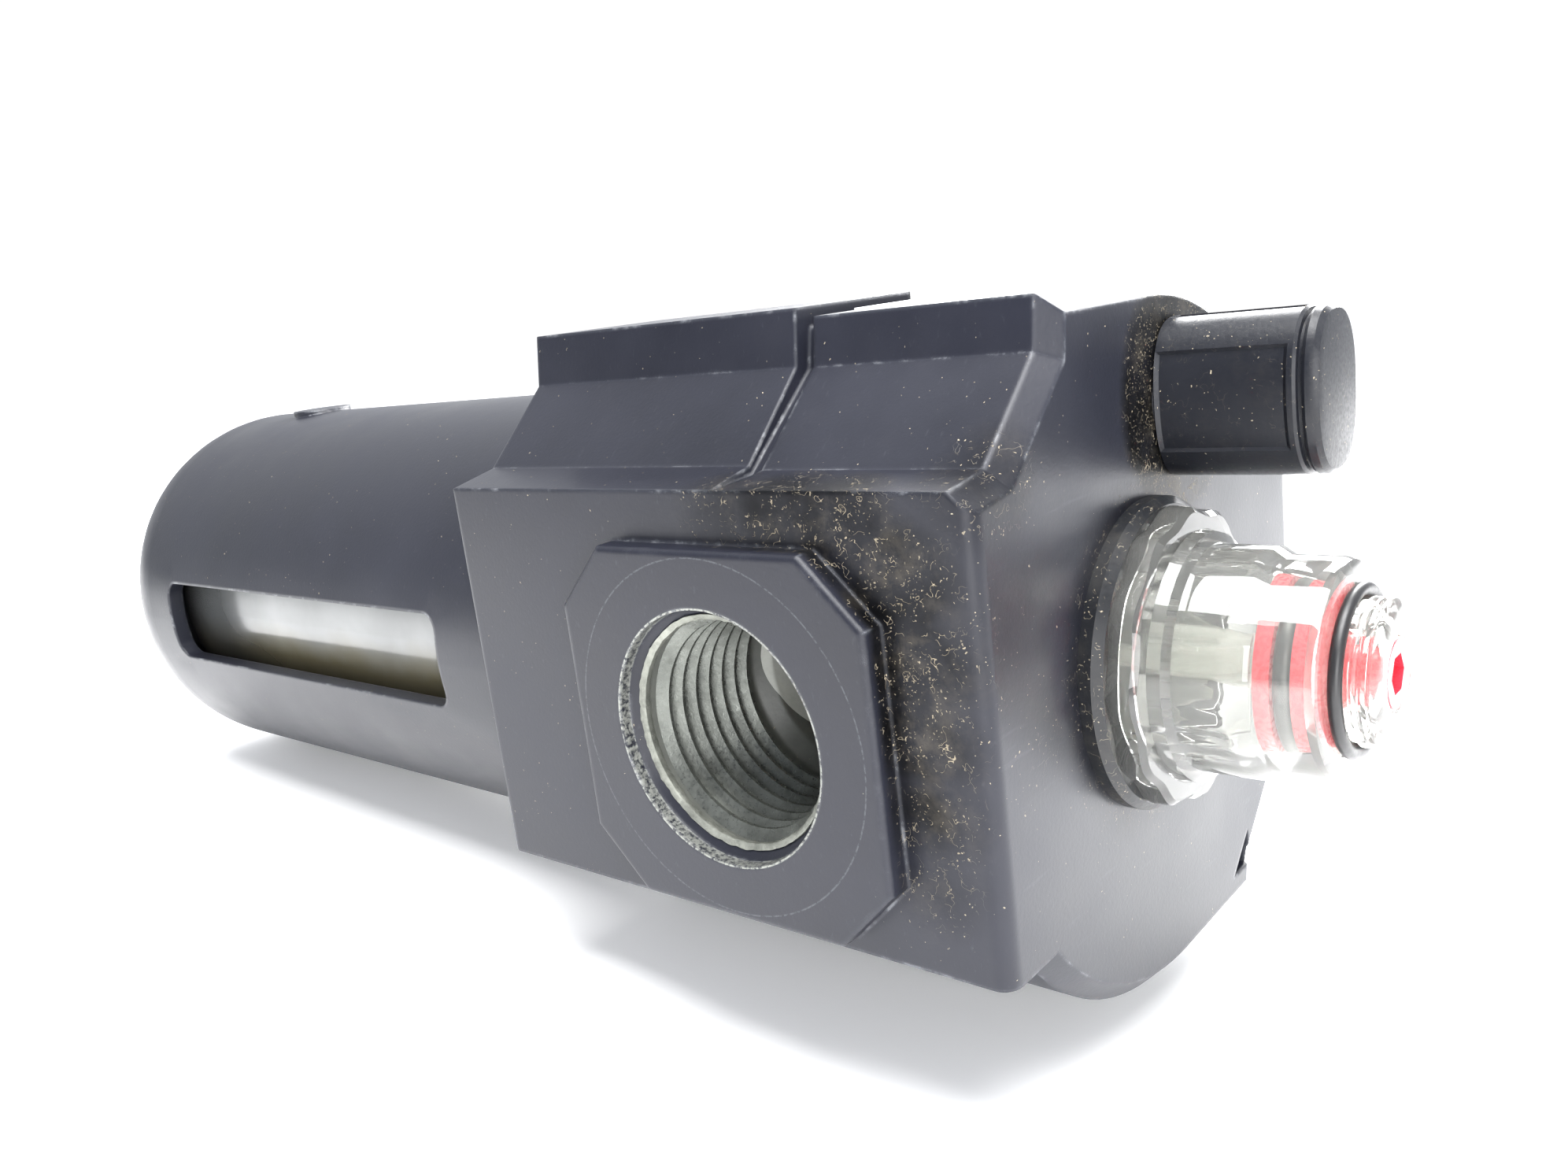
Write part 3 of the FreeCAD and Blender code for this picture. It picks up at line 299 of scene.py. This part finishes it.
# the worn bright rim of the port mouth, and the turned circle drawn as a faint lighter line: painted sheen
# standing in for the light along its shallow step
faceRings = [
    (portMiddle, roundX, 0.01158, 0.00013, faceDepth, 0.80, (0.36, 0.37, 0.33, 1)),
    (portMiddle, roundX, 0.01600, 0.00010, faceDepth, 0.40, (0.10, 0.105, 0.115, 1)),
]
headPaint = enamel("headPaint", (0.0085, 0.0092, 0.0145, 1), (0.0140, 0.0150, 0.0225, 1), gloss=0.34,
                   shine=0.31, dustAndShade=dustAndShadeSpots, bare=bareWalls, rings=faceRings)
guardPaint = enamel("guardPaint", (0.0090, 0.0097, 0.0145, 1), (0.0140, 0.0150, 0.0220, 1), gloss=0.36,
                    shine=0.40, dustAndShade=[], bare=[], rings=[])


# Opaque moulded plastic or rubber.
def moulded(name, low, high, gloss, grain, lintShare, shine=0.5):
    material, tree, shader, spot, skin = surface(name)
    tone = blend(tree, ramp(tree, skin.outputs["Broad"], 0.3, 0.7), low, high)
    tone, mask = lintOver(tree, spot, lintShare, tone)
    tree.links.new(tone, shader.inputs["Base Color"])
    finish = ramp(tree, skin.outputs["Fine"], 0.3, 0.7, gloss - 0.06, gloss + 0.06)
    finish = mathNode(tree, "ADD", finish, mathNode(tree, "MULTIPLY", mask, 0.3))
    tree.links.new(finish, shader.inputs["Roughness"])
    tree.links.new(bump(tree, skin.outputs["Fine"], grain, 0.00005), shader.inputs["Normal"])
    shader.inputs["Specular IOR Level"].default_value = shine
    return material


plugPlastic = moulded("plugPlastic", (0.006, 0.0065, 0.009, 1), (0.011, 0.012, 0.016, 1), 0.36, 0.25, 0.10,
                       0.28)
drainPlastic = moulded("drainPlastic", (0.012, 0.012, 0.014, 1), (0.020, 0.020, 0.023, 1), 0.5, 0.3, 0.05)
sealRubber = moulded("sealRubber", (0.006, 0.006, 0.007, 1), (0.012, 0.012, 0.013, 1), 0.38, 0.1, 0.02)
gasketRubber = moulded("gasketRubber", (0.006, 0.0065, 0.008, 1), (0.011, 0.012, 0.014, 1), 0.34, 0.15, 0.22,
                        0.35)
vaneRubber = moulded("vaneRubber", (0.22, 0.10, 0.035, 1), (0.30, 0.14, 0.05, 1), 0.5, 0.2, 0.0)
insertPlastic = moulded("insertPlastic", (0.62, 0.62, 0.58, 1), (0.74, 0.74, 0.70, 1), 0.45, 0.15, 0.02)
redPlastic = moulded("redPlastic", (0.60, 0.020, 0.040, 1), (0.74, 0.040, 0.060, 1), 0.28, 0.05, 0.0)
labelFilm = moulded("labelFilm", (0.70, 0.71, 0.72, 1), (0.80, 0.80, 0.80, 1), 0.35, 0.05, 0.05)


def metal(name, low, high, gloss, scratch, stained):
    material, tree, shader, spot, skin = surface(name)
    tone = blend(tree, ramp(tree, skin.outputs["Broad"], 0.3, 0.7), low, high)
    stain = ramp(tree, noise(tree, spot, 380.0, 5.0, 0.7), 0.45, 0.75)
    tone = blend(tree, mathNode(tree, "MULTIPLY", stain, stained), tone, (0.045, 0.048, 0.042, 1))
    tree.links.new(tone, shader.inputs["Base Color"])
    shader.inputs["Metallic"].default_value = 0.7
    finish = ramp(tree, skin.outputs["Fine"], 0.3, 0.7, gloss - 0.08, gloss + 0.14)
    tree.links.new(finish, shader.inputs["Roughness"])
    rough = noise(tree, spot, 1500.0, 5.0, 0.7)
    tree.links.new(bump(tree, rough, scratch, 0.00010), shader.inputs["Normal"])
    return material


bareMetal = metal("bareMetal", (0.060, 0.064, 0.058, 1), (0.20, 0.21, 0.19, 1), 0.30, 0.35, 0.75)
rimMetal = metal("rimMetal", (0.10, 0.105, 0.09, 1), (0.42, 0.43, 0.38, 1), 0.50, 0.9, 0.75)
steel = metal("steel", (0.50, 0.50, 0.50, 1), (0.62, 0.62, 0.62, 1), 0.25, 0.1, 0.3)
bronze = metal("bronze", (0.38, 0.22, 0.09, 1), (0.52, 0.34, 0.16, 1), 0.5, 0.9, 0.3)


# Clear or milky polymer.
def seeThrough(name, tint, rough, milky, haze):
    material, tree, shader, spot, skin = surface(name)
    deeper = tuple(c * haze for c in tint[:3]) + (1,)
    tone = blend(tree, ramp(tree, skin.outputs["Broad"], 0.3, 0.7), tint, deeper)
    tree.links.new(tone, shader.inputs["Base Color"])
    shader.inputs["Transmission Weight"].default_value = 1.0 - milky
    shader.inputs["IOR"].default_value = 1.49
    tree.links.new(ramp(tree, skin.outputs["Rub"], 0.0, 1.0, rough, rough + 0.12), shader.inputs["Roughness"])
    tree.links.new(bump(tree, skin.outputs["Broad"], 0.12, 0.0002), shader.inputs["Normal"])
    return material


clearPlastic = seeThrough("clearPlastic", (0.985, 0.99, 0.945, 1), 0.015, 0.055, 0.96)
tubePlastic = seeThrough("tubePlastic", (0.92, 0.93, 0.88, 1), 0.18, 0.25, 0.95)
bowlPlastic = seeThrough("bowlPlastic", (0.36, 0.37, 0.365, 1), 0.14, 0.70, 0.72)
bowlTree = bowlPlastic.node_tree
bowlShader = bowlTree.nodes["Principled BSDF"]
bowlSpot = bowlTree.nodes.new("ShaderNodeTexCoord").outputs["Object"]
bowlPlace = put(bowlTree, "ShaderNodeSeparateXYZ", {0: bowlSpot})
bowlTone = bowlShader.inputs["Base Color"].links[0].from_socket
wavy = ramp(bowlTree, noise(bowlTree, bowlSpot, 60.0), 0.0, 1.0, -0.004, 0.004)
oilLine = mathNode(bowlTree, "ADD", bowlPlace.outputs["Y"], wavy)
oilFilm = ramp(bowlTree, oilLine, 0.0005, 0.0060)
bowlTone = blend(bowlTree, mathNode(bowlTree, "MULTIPLY", oilFilm, 0.75), bowlTone, (0.19, 0.155, 0.06, 1))
footShade = ramp(bowlTree, bowlPlace.outputs["Z"], -0.096, -0.112)
bowlTone = blend(bowlTree, mathNode(bowlTree, "MULTIPLY", footShade, 0.8), bowlTone, (0.04, 0.042, 0.045, 1))
bowlTree.links.new(bowlTone, bowlShader.inputs["Base Color"])

slotMaterials = {
    "head_paint": headPaint, "guard_paint": guardPaint, "label_film": labelFilm, "steel": steel,
    "insert_plastic": insertPlastic, "tube_plastic": tubePlastic, "bowl_plastic": bowlPlastic,
    "drain_plastic": drainPlastic, "clear_plastic": clearPlastic, "red_plastic": redPlastic,
    "plug_plastic": plugPlastic, "vane_rubber": vaneRubber, "seal_rubber": sealRubber,
    "gasket_rubber": gasketRubber, "sintered_bronze": bronze,
}
for part in frame["record"]["subparts"]:
    for materialSlot in nodes[part["node"]].material_slots:
        materialSlot.material = slotMaterials[part["material_slot"]]
print("materials ready")


# modelling helpers, in the row frame, on objects that stay at the origin

# A mesh object of one vertex, in edit mode.
def startMesh(name, at):
    bpy.ops.object.select_all(action="DESELECT")
    bpy.ops.mesh.primitive_plane_add(size=0.0001, location=(0, 0, 0))
    piece = bpy.context.object
    piece.name = name
    bpy.ops.object.mode_set(mode="EDIT")
    bpy.ops.mesh.select_mode(type="VERT")
    bpy.ops.mesh.select_all(action="SELECT")
    bpy.ops.mesh.merge(type="CENTER")
    bpy.ops.transform.translate(value=at)
    return piece


# A mesh line through the spots, in edit mode.
def drawLine(name, spots):
    piece = startMesh(name, spots[0])
    for here, there in zip(spots, spots[1:]):
        bpy.ops.mesh.extrude_region_move(TRANSFORM_OT_translate={"value": there - here})
    return piece


def finishMesh(piece, material, smooth=35.0, weld=0.000001):
    bpy.ops.mesh.select_all(action="SELECT")
    bpy.ops.mesh.remove_doubles(threshold=weld)
    bpy.ops.mesh.normals_make_consistent(inside=False)
    bpy.ops.object.mode_set(mode="OBJECT")
    bpy.ops.object.shade_smooth_by_angle(angle=math.radians(smooth))
    piece.data.materials.clear()
    piece.data.materials.append(material)
    return piece


# Turns (radius, along) corners, in millimetres, about an axis through centre.
def lathe(name, corners, centre, axis, out, material, steps):
    centre, axis, out = Vector(centre), Vector(axis), Vector(out)
    spots = [centre + out * (r * mm) + axis * (t * mm) for r, t in corners]
    piece = drawLine(name, spots + [spots[0]])
    bpy.ops.mesh.select_all(action="SELECT")
    bpy.ops.mesh.spin(steps=steps, angle=math.tau, center=centre, axis=axis)
    return finishMesh(piece, material)


def pick(piece):
    bpy.ops.object.select_all(action="DESELECT")
    piece.select_set(True)
    bpy.context.view_layer.objects.active = piece


def applyAll(piece):
    pick(piece)
    for modifier in list(piece.modifiers):
        bpy.ops.object.modifier_apply(modifier=modifier.name)


# Opens a finished piece in edit mode with the chosen vertices or faces selected.
def editWhere(piece, kind, chosen):
    pick(piece)
    bpy.ops.object.mode_set(mode="EDIT")
    bpy.ops.mesh.select_mode(type=kind)
    bpy.ops.mesh.select_all(action="DESELECT")
    bpy.ops.object.mode_set(mode="OBJECT")
    for element in (piece.data.vertices if kind == "VERT" else piece.data.polygons):
        element.select = chosen(element)
    bpy.ops.object.mode_set(mode="EDIT")


# port threads: a helical ridge in each port, with a rough bright lip at its mouth
thread = {"pitch": 1.814, "turns": 8, "crest": 0.95, "first": 0.5}


def portThread(name, mount):
    centre = Vector(mount["pos_m"])
    outward = Vector(mount["axis"])
    root = mount["dims"]["r_mm"] - 0.02
    half = thread["pitch"] / 2
    profile = [(root, 0.0), (root - thread["crest"], half * 0.82), (root - thread["crest"], half * 1.18),
               (root, half * 2)]
    piece = drawLine(name, [Vector((r * mm, 0, t * mm)) for r, t in profile])
    bpy.ops.object.mode_set(mode="OBJECT")
    screw = piece.modifiers.new("turns", "SCREW")
    screw.axis = "Z"
    screw.angle = math.tau
    screw.screw_offset = thread["pitch"] * mm
    screw.iterations = thread["turns"] - 1
    screw.steps = 72
    screw.use_merge_vertices = True
    screw.merge_threshold = 0.000002
    applyAll(piece)
    piece.rotation_mode = "QUATERNION"
    piece.rotation_quaternion = Vector((0, 0, -1)).rotation_difference(outward)
    piece.location = centre - outward * (thread["first"] * mm)
    bpy.ops.object.transform_apply(location=True, rotation=True, scale=True)
    bpy.ops.object.mode_set(mode="EDIT")
    finishMesh(piece, bareMetal, 30.0)
    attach(piece, "casting")
    return piece


# crusted lip of each port: corners are (beyond the thread's radius, along the port) in millimetres
lip = {"corners": [(-0.10, -0.7), (-0.34, -0.25), (-0.30, 0.10), (-0.05, 0.32), (0.22, 0.42), (0.30, 0.20),
                   (0.05, 0.02), (-0.01, -0.6)],
       "steps": 160, "gritScale": 0.0006, "gritHeight": 0.00035}


def portLip(name, mount):
    centre = Vector(mount["pos_m"])
    outward = Vector(mount["axis"])
    root = mount["dims"]["r_mm"]
    corners = [(root + beyond, along) for beyond, along in lip["corners"]]
    piece = lathe(name, corners, centre, outward, (0, 0, 1), rimMetal, lip["steps"])
    texture = bpy.data.textures.new(name + "Grit", "CLOUDS")
    texture.noise_scale = lip["gritScale"]
    texture.noise_depth = 3
    grit = piece.modifiers.new("grit", "DISPLACE")
    grit.texture = texture
    grit.strength = lip["gritHeight"]
    grit.mid_level = 0.55
    applyAll(piece)
    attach(piece, "casting")
    return piece


for key in ("inlet_port", "outlet_port"):
    portThread(key.split("_")[0] + "Thread", mounts[key])
    portLip(key.split("_")[0] + "Lip", mounts[key])
print("threads ready")


# sight dome: wavy flange, collar, ribbed barrel and a ridged neck; along is measured from the flange's base
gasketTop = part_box("dome_gasket")[1][2]
domeCentre = Vector((domeAxis.x, domeAxis.y, gasketTop))
neckFoot = (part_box("dome_neck_ring")[1][2] - gasketTop) / mm
domeEnd = (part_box("sight_dome")[1][2] - gasketTop) / mm
dome = {"bore": 7.95, "spigot": 8.60, "flange": 12.74, "flangeTop": 2.6, "collar": 10.8,
        "barrel": 9.83, "barrelTop": 9.5, "crown": 9.18, "crownTop": 15.3, "neck": 5.75, "ridge": 6.08,
        "inside": 7.52, "stemHole": 3.3,
        "wave": 0.024, "lobes": 12, "rim": 0.54, "rib": 0.965, "ribFoot": 0.3, "ribTop": 2.0,
        "steps": 96, "depth": -14.0}
ridges = []
ridgeStep = (domeEnd - 0.3 - neckFoot) / 3
for turn in range(3):
    start = neckFoot + 0.05 + turn * ridgeStep
    ridges += [(dome["neck"], start), (dome["ridge"], start + ridgeStep * 0.30),
               (dome["ridge"], start + ridgeStep * 0.60), (dome["neck"], start + ridgeStep * 0.90)]
domeCorners = [
    (dome["bore"], dome["depth"]), (dome["spigot"], dome["depth"]), (dome["spigot"], 0.0),
    (dome["flange"], 0.0),
    (dome["flange"] + 0.2, 0.5), (dome["flange"] + 0.1, dome["flangeTop"] - 0.5),
    (dome["flange"] - 0.35, dome["flangeTop"]), (dome["collar"] + 0.25, dome["flangeTop"] + 0.05),
    (dome["collar"], dome["flangeTop"] + 1.1), (dome["barrel"] + 0.12, dome["flangeTop"] + 1.6),
    (dome["barrel"], dome["flangeTop"] + 2.2), (dome["barrel"], dome["barrelTop"] - 0.2),
    (dome["crown"] + 0.1, dome["barrelTop"] + 0.6), (dome["crown"], dome["barrelTop"] + 1.0),
    (dome["crown"], dome["crownTop"] - 0.8), (dome["crown"] - 0.25, dome["crownTop"] - 0.25),
    (dome["crown"] - 0.9, dome["crownTop"]), (dome["neck"], dome["crownTop"] + 0.02)] + ridges + [
    (dome["neck"] - 0.5, domeEnd), (dome["stemHole"], domeEnd), (dome["stemHole"], dome["crownTop"] - 0.2),
    (dome["inside"], dome["crownTop"] - 1.4), (dome["inside"], dome["barrelTop"] - 0.6),
    (dome["bore"], dome["barrelTop"] - 1.6), (dome["bore"], dome["barrelTop"] - 2.6), (dome["bore"], 0.6),
    (dome["bore"], 0.0)]
domeShell = lathe("domeShell", domeCorners, domeCentre, (0, 0, 1), (1, 0, 0), clearPlastic, dome["steps"])


# Scales the chosen vertices of the dome about its own axis.
def swellDome(chosen, factor):
    editWhere(domeShell, "VERT", lambda vertex: chosen(vertex.co - domeCentre))
    bpy.ops.transform.resize(value=(factor, factor, 1), center_override=domeCentre)
    bpy.ops.object.mode_set(mode="OBJECT")


for phase in range(-4, 1):
    share = round(math.cos(math.radians(phase * 45)), 3)

    def onLobe(spot, share=share):
        angle = math.atan2(spot.y, spot.x) * dome["lobes"]
        far = math.hypot(spot.x, spot.y) > (dome["flange"] - dome["rim"]) * mm
        return far and spot.z > -0.0001 and abs(math.cos(angle) - share) < 0.02

    swellDome(onLobe, 1 + dome["wave"] * share)


def onRib(spot):
    wide = math.hypot(spot.x, spot.y)
    place = round(math.atan2(spot.y, spot.x) / math.tau * dome["steps"]) % 4
    inWall = abs(wide - dome["bore"] * mm) < 0.00006
    return place == 0 and inWall and dome["ribFoot"] * mm < spot.z < (dome["barrelTop"] - dome["ribTop"]) * mm


swellDome(onRib, dome["rib"])
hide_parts("sight_dome")
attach(domeShell, "casting")
print("sight dome ready")


# fill plug: an oval grip with a framed panel on each broad face, a neck and a bulged cap, on a turned stem
plugBox = [Vector(v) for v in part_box("fill_plug")]
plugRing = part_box("fill_plug_ring")
plugFoot = headHigh.z + 0.15 * mm
grip = {"panelHalf": 4.6, "panelTop": 11.3, "neck": 12.0, "neckTop": 12.45, "frame": 0.35, "sink": 0.30,
        "seamHalf": 1.2, "seamFrame": 0.15, "seamSink": 0.4, "sides": 64, "square": 0.82}
gripEnd = (plugBox[1].z - plugFoot) / mm
gripLoops = [(0.0, 1.0), (grip["panelTop"], 1.0), (grip["neck"] - 0.25, 1.0), (grip["neck"], 0.97),
             (grip["neck"] + 0.1, 0.92), (grip["neckTop"] - 0.1, 0.92), (grip["neckTop"], 0.97),
             (grip["neckTop"] + 0.3, 1.0), (gripEnd - 0.55, 0.985),
             (gripEnd - 0.12, 0.93), (gripEnd, 0.82)]
gripCentre = Vector((plugAxis.x, plugAxis.y, plugFoot))
halfX = (plugBox[1].x - plugBox[0].x) / 2
halfY = (plugBox[1].y - plugBox[0].y) / 2
bpy.ops.object.select_all(action="DESELECT")
bpy.ops.mesh.primitive_circle_add(vertices=grip["sides"], radius=1.0, fill_type="NGON", location=(0, 0, 0))
plugGrip = bpy.context.object
plugGrip.name = "plugGrip"
for vertex in plugGrip.data.vertices:
    x, y = vertex.co.x, vertex.co.y
    vertex.co.x = math.copysign(abs(x) ** grip["square"], x) * halfX
    vertex.co.y = math.copysign(abs(y) ** grip["square"], y) * halfY
bpy.ops.object.mode_set(mode="EDIT")
bpy.ops.mesh.select_all(action="SELECT")
bpy.ops.transform.translate(value=gripCentre)
level, width = gripLoops[0]
for nextLevel, nextWidth in gripLoops[1:]:
    bpy.ops.mesh.extrude_region_move(TRANSFORM_OT_translate={"value": (0, 0, (nextLevel - level) * mm)})
    here = gripCentre + Vector((0, 0, nextLevel * mm))
    step = nextWidth / width
    bpy.ops.transform.resize(value=(step, step, 1), center_override=here)
    level, width = nextLevel, nextWidth
bpy.ops.object.mode_set(mode="OBJECT")


# Insets the chosen faces of the grip as one panel and moves it.
def sinkPanel(chosen, frameWide, move):
    editWhere(plugGrip, "FACE", chosen)
    bpy.ops.mesh.inset(thickness=frameWide * mm, depth=0)
    bpy.ops.transform.translate(value=move)
    bpy.ops.object.mode_set(mode="OBJECT")


for side in (1, -1):
    def onPanel(face, side=side):
        spot = face.center - gripCentre
        low = spot.z < grip["panelTop"] * mm
        return low and face.normal.x * side > 0.6 and abs(spot.y) < grip["panelHalf"] * mm

    def onSeam(face, side=side):
        spot = face.center - gripCentre
        low = 0.001 * mm < spot.z < grip["neck"] * mm
        upright = face.normal.y * side > 0.5 and abs(face.normal.z) < 0.5
        return low and upright and abs(spot.x) < grip["seamHalf"] * mm

    sinkPanel(onPanel, grip["frame"], (-side * grip["sink"] * mm, 0, 0))
    sinkPanel(onSeam, grip["seamFrame"], (0, -side * grip["seamSink"] * mm, 0))
bpy.ops.object.mode_set(mode="EDIT")
finishMesh(plugGrip, plugPlastic, 28.0)

# plug stem: a turned spigot with a groove for its ring; along is measured from the grip's foot
stem = {"core": 0.4, "play": 0.05, "toeIn": 0.85, "toeUp": 0.8, "grooveHalf": 0.8, "grooveDepth": 1.42,
        "shoulder": 0.3, "lap": 0.01, "steps": 64}
ringAt = ((plugRing[0][2] + plugRing[1][2]) / 2 - plugFoot) / mm
ringWide = (plugRing[1][0] - plugRing[0][0]) / 2 / mm
stemWide = ringWide - stem["play"]
grooveWide = ringWide - stem["grooveDepth"]
stemLow = (plugBox[0].z - plugFoot) / mm
stemCorners = [
    (stem["core"], stemLow), (stemWide - stem["toeIn"], stemLow), (stemWide, stemLow + stem["toeUp"]),
    (stemWide, ringAt - stem["grooveHalf"]), (grooveWide, ringAt - stem["grooveHalf"]),
    (grooveWide, ringAt + stem["grooveHalf"]), (stemWide, ringAt + stem["grooveHalf"]),
    (stemWide, -stem["shoulder"]), (halfX / mm - stem["shoulder"], stem["lap"]), (stem["core"], stem["lap"])]
plugStem = lathe("plugStem", stemCorners, gripCentre, (0, 0, 1), (1, 0, 0), plugPlastic, stem["steps"])
for piece in (plugGrip, plugStem):
    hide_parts("fill_plug")
    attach(piece, "plug")
print("fill plug ready")

# stage: a pale plane under the lying object, which shows only its front side
rest = {"gap": 0.0004, "size": 1.6}
guardLow, guardHigh = (Vector(v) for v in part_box("bowl_guard"))
foot = Vector((0, guardHigh.y, guardLow.z + 0.015))
heel = Vector((0, headHigh.y, headLow.z))
slope = math.atan2(heel.y - foot.y, heel.z - foot.z)
bpy.ops.mesh.primitive_plane_add(size=rest["size"], location=(bowlAxis.x, heel.y + rest["gap"], heel.z))
floor = bpy.context.object
floor.name = "paleFloor"
floor.rotation_euler = (math.radians(90) - slope, 0, 0)
bpy.ops.object.transform_apply(location=True, rotation=True, scale=True)
floorPaint = bpy.data.materials.new("floorPaint")
floorPaint.use_nodes = True
floorTree = floorPaint.node_tree
floorShader = floorTree.nodes["Principled BSDF"]
floorShader.inputs["Roughness"].default_value = 0.9
floorShader.inputs["Emission Color"].default_value = (1, 1, 1, 1)
floorShader.inputs["Emission Strength"].default_value = 0.16
floorShader.inputs["Specular IOR Level"].default_value = 0.1
paleSpot = floorTree.nodes.new("ShaderNodeTexCoord").outputs["Object"]
paleTone = blend(floorTree, noise(floorTree, paleSpot, 6.0), (0.97, 0.97, 0.975, 1), (0.99, 0.99, 0.99, 1))
floorTree.links.new(paleTone, floorShader.inputs["Base Color"])
clearSide = floorTree.nodes.new("ShaderNodeBsdfTransparent")
sides = floorTree.nodes.new("ShaderNodeMixShader")
floorTree.links.new(floorTree.nodes.new("ShaderNodeNewGeometry").outputs["Backfacing"], sides.inputs[0])
floorTree.links.new(floorShader.outputs[0], sides.inputs[1])
floorTree.links.new(clearSide.outputs[0], sides.inputs[2])
floorTree.links.new(sides.outputs[0], floorTree.nodes["Material Output"].inputs["Surface"])
floor.data.materials.append(floorPaint)

# soft studio light
world = bpy.data.worlds.new("paleRoom")
bpy.context.scene.world = world
world.use_nodes = True
room = world.node_tree
facing = put(room, "ShaderNodeSeparateXYZ", {0: room.nodes.new("ShaderNodeTexCoord").outputs["Generated"]})
behind = ramp(room, facing.outputs["X"], 0.10, 0.85)
graded = blend(room, behind, (0.94, 0.965, 1.0, 1), (0.19, 0.215, 0.27, 1))
seen = room.nodes.new("ShaderNodeLightPath").outputs["Is Camera Ray"]
room.links.new(blend(room, seen, graded, (1.0, 1.0, 1.0, 1)), room.nodes["Background"].inputs["Color"])
room.nodes["Background"].inputs["Strength"].default_value = 1.05
bpy.context.scene.view_settings.view_transform = "Standard"

lamps = [
    {"name": "softTop", "place": (0.10, -0.42, 0.10), "size": 0.35, "power": 7.0},
    {"name": "softEnd", "place": (0.40, -0.10, 0.35), "size": 0.30, "power": 2.4},
    {"name": "softSide", "place": (-0.35, -0.25, -0.10), "size": 0.35, "power": 8.0},
]
for lamp in lamps:
    bpy.ops.object.light_add(type="AREA", location=lamp["place"])
    light = bpy.context.object
    light.name = lamp["name"]
    light.data.size = lamp["size"]
    light.data.energy = lamp["power"]
    light.rotation_mode = "QUATERNION"
    light.rotation_quaternion = (bowlAxis * 0.5 - Vector(lamp["place"])).to_track_quat("-Z", "Y")
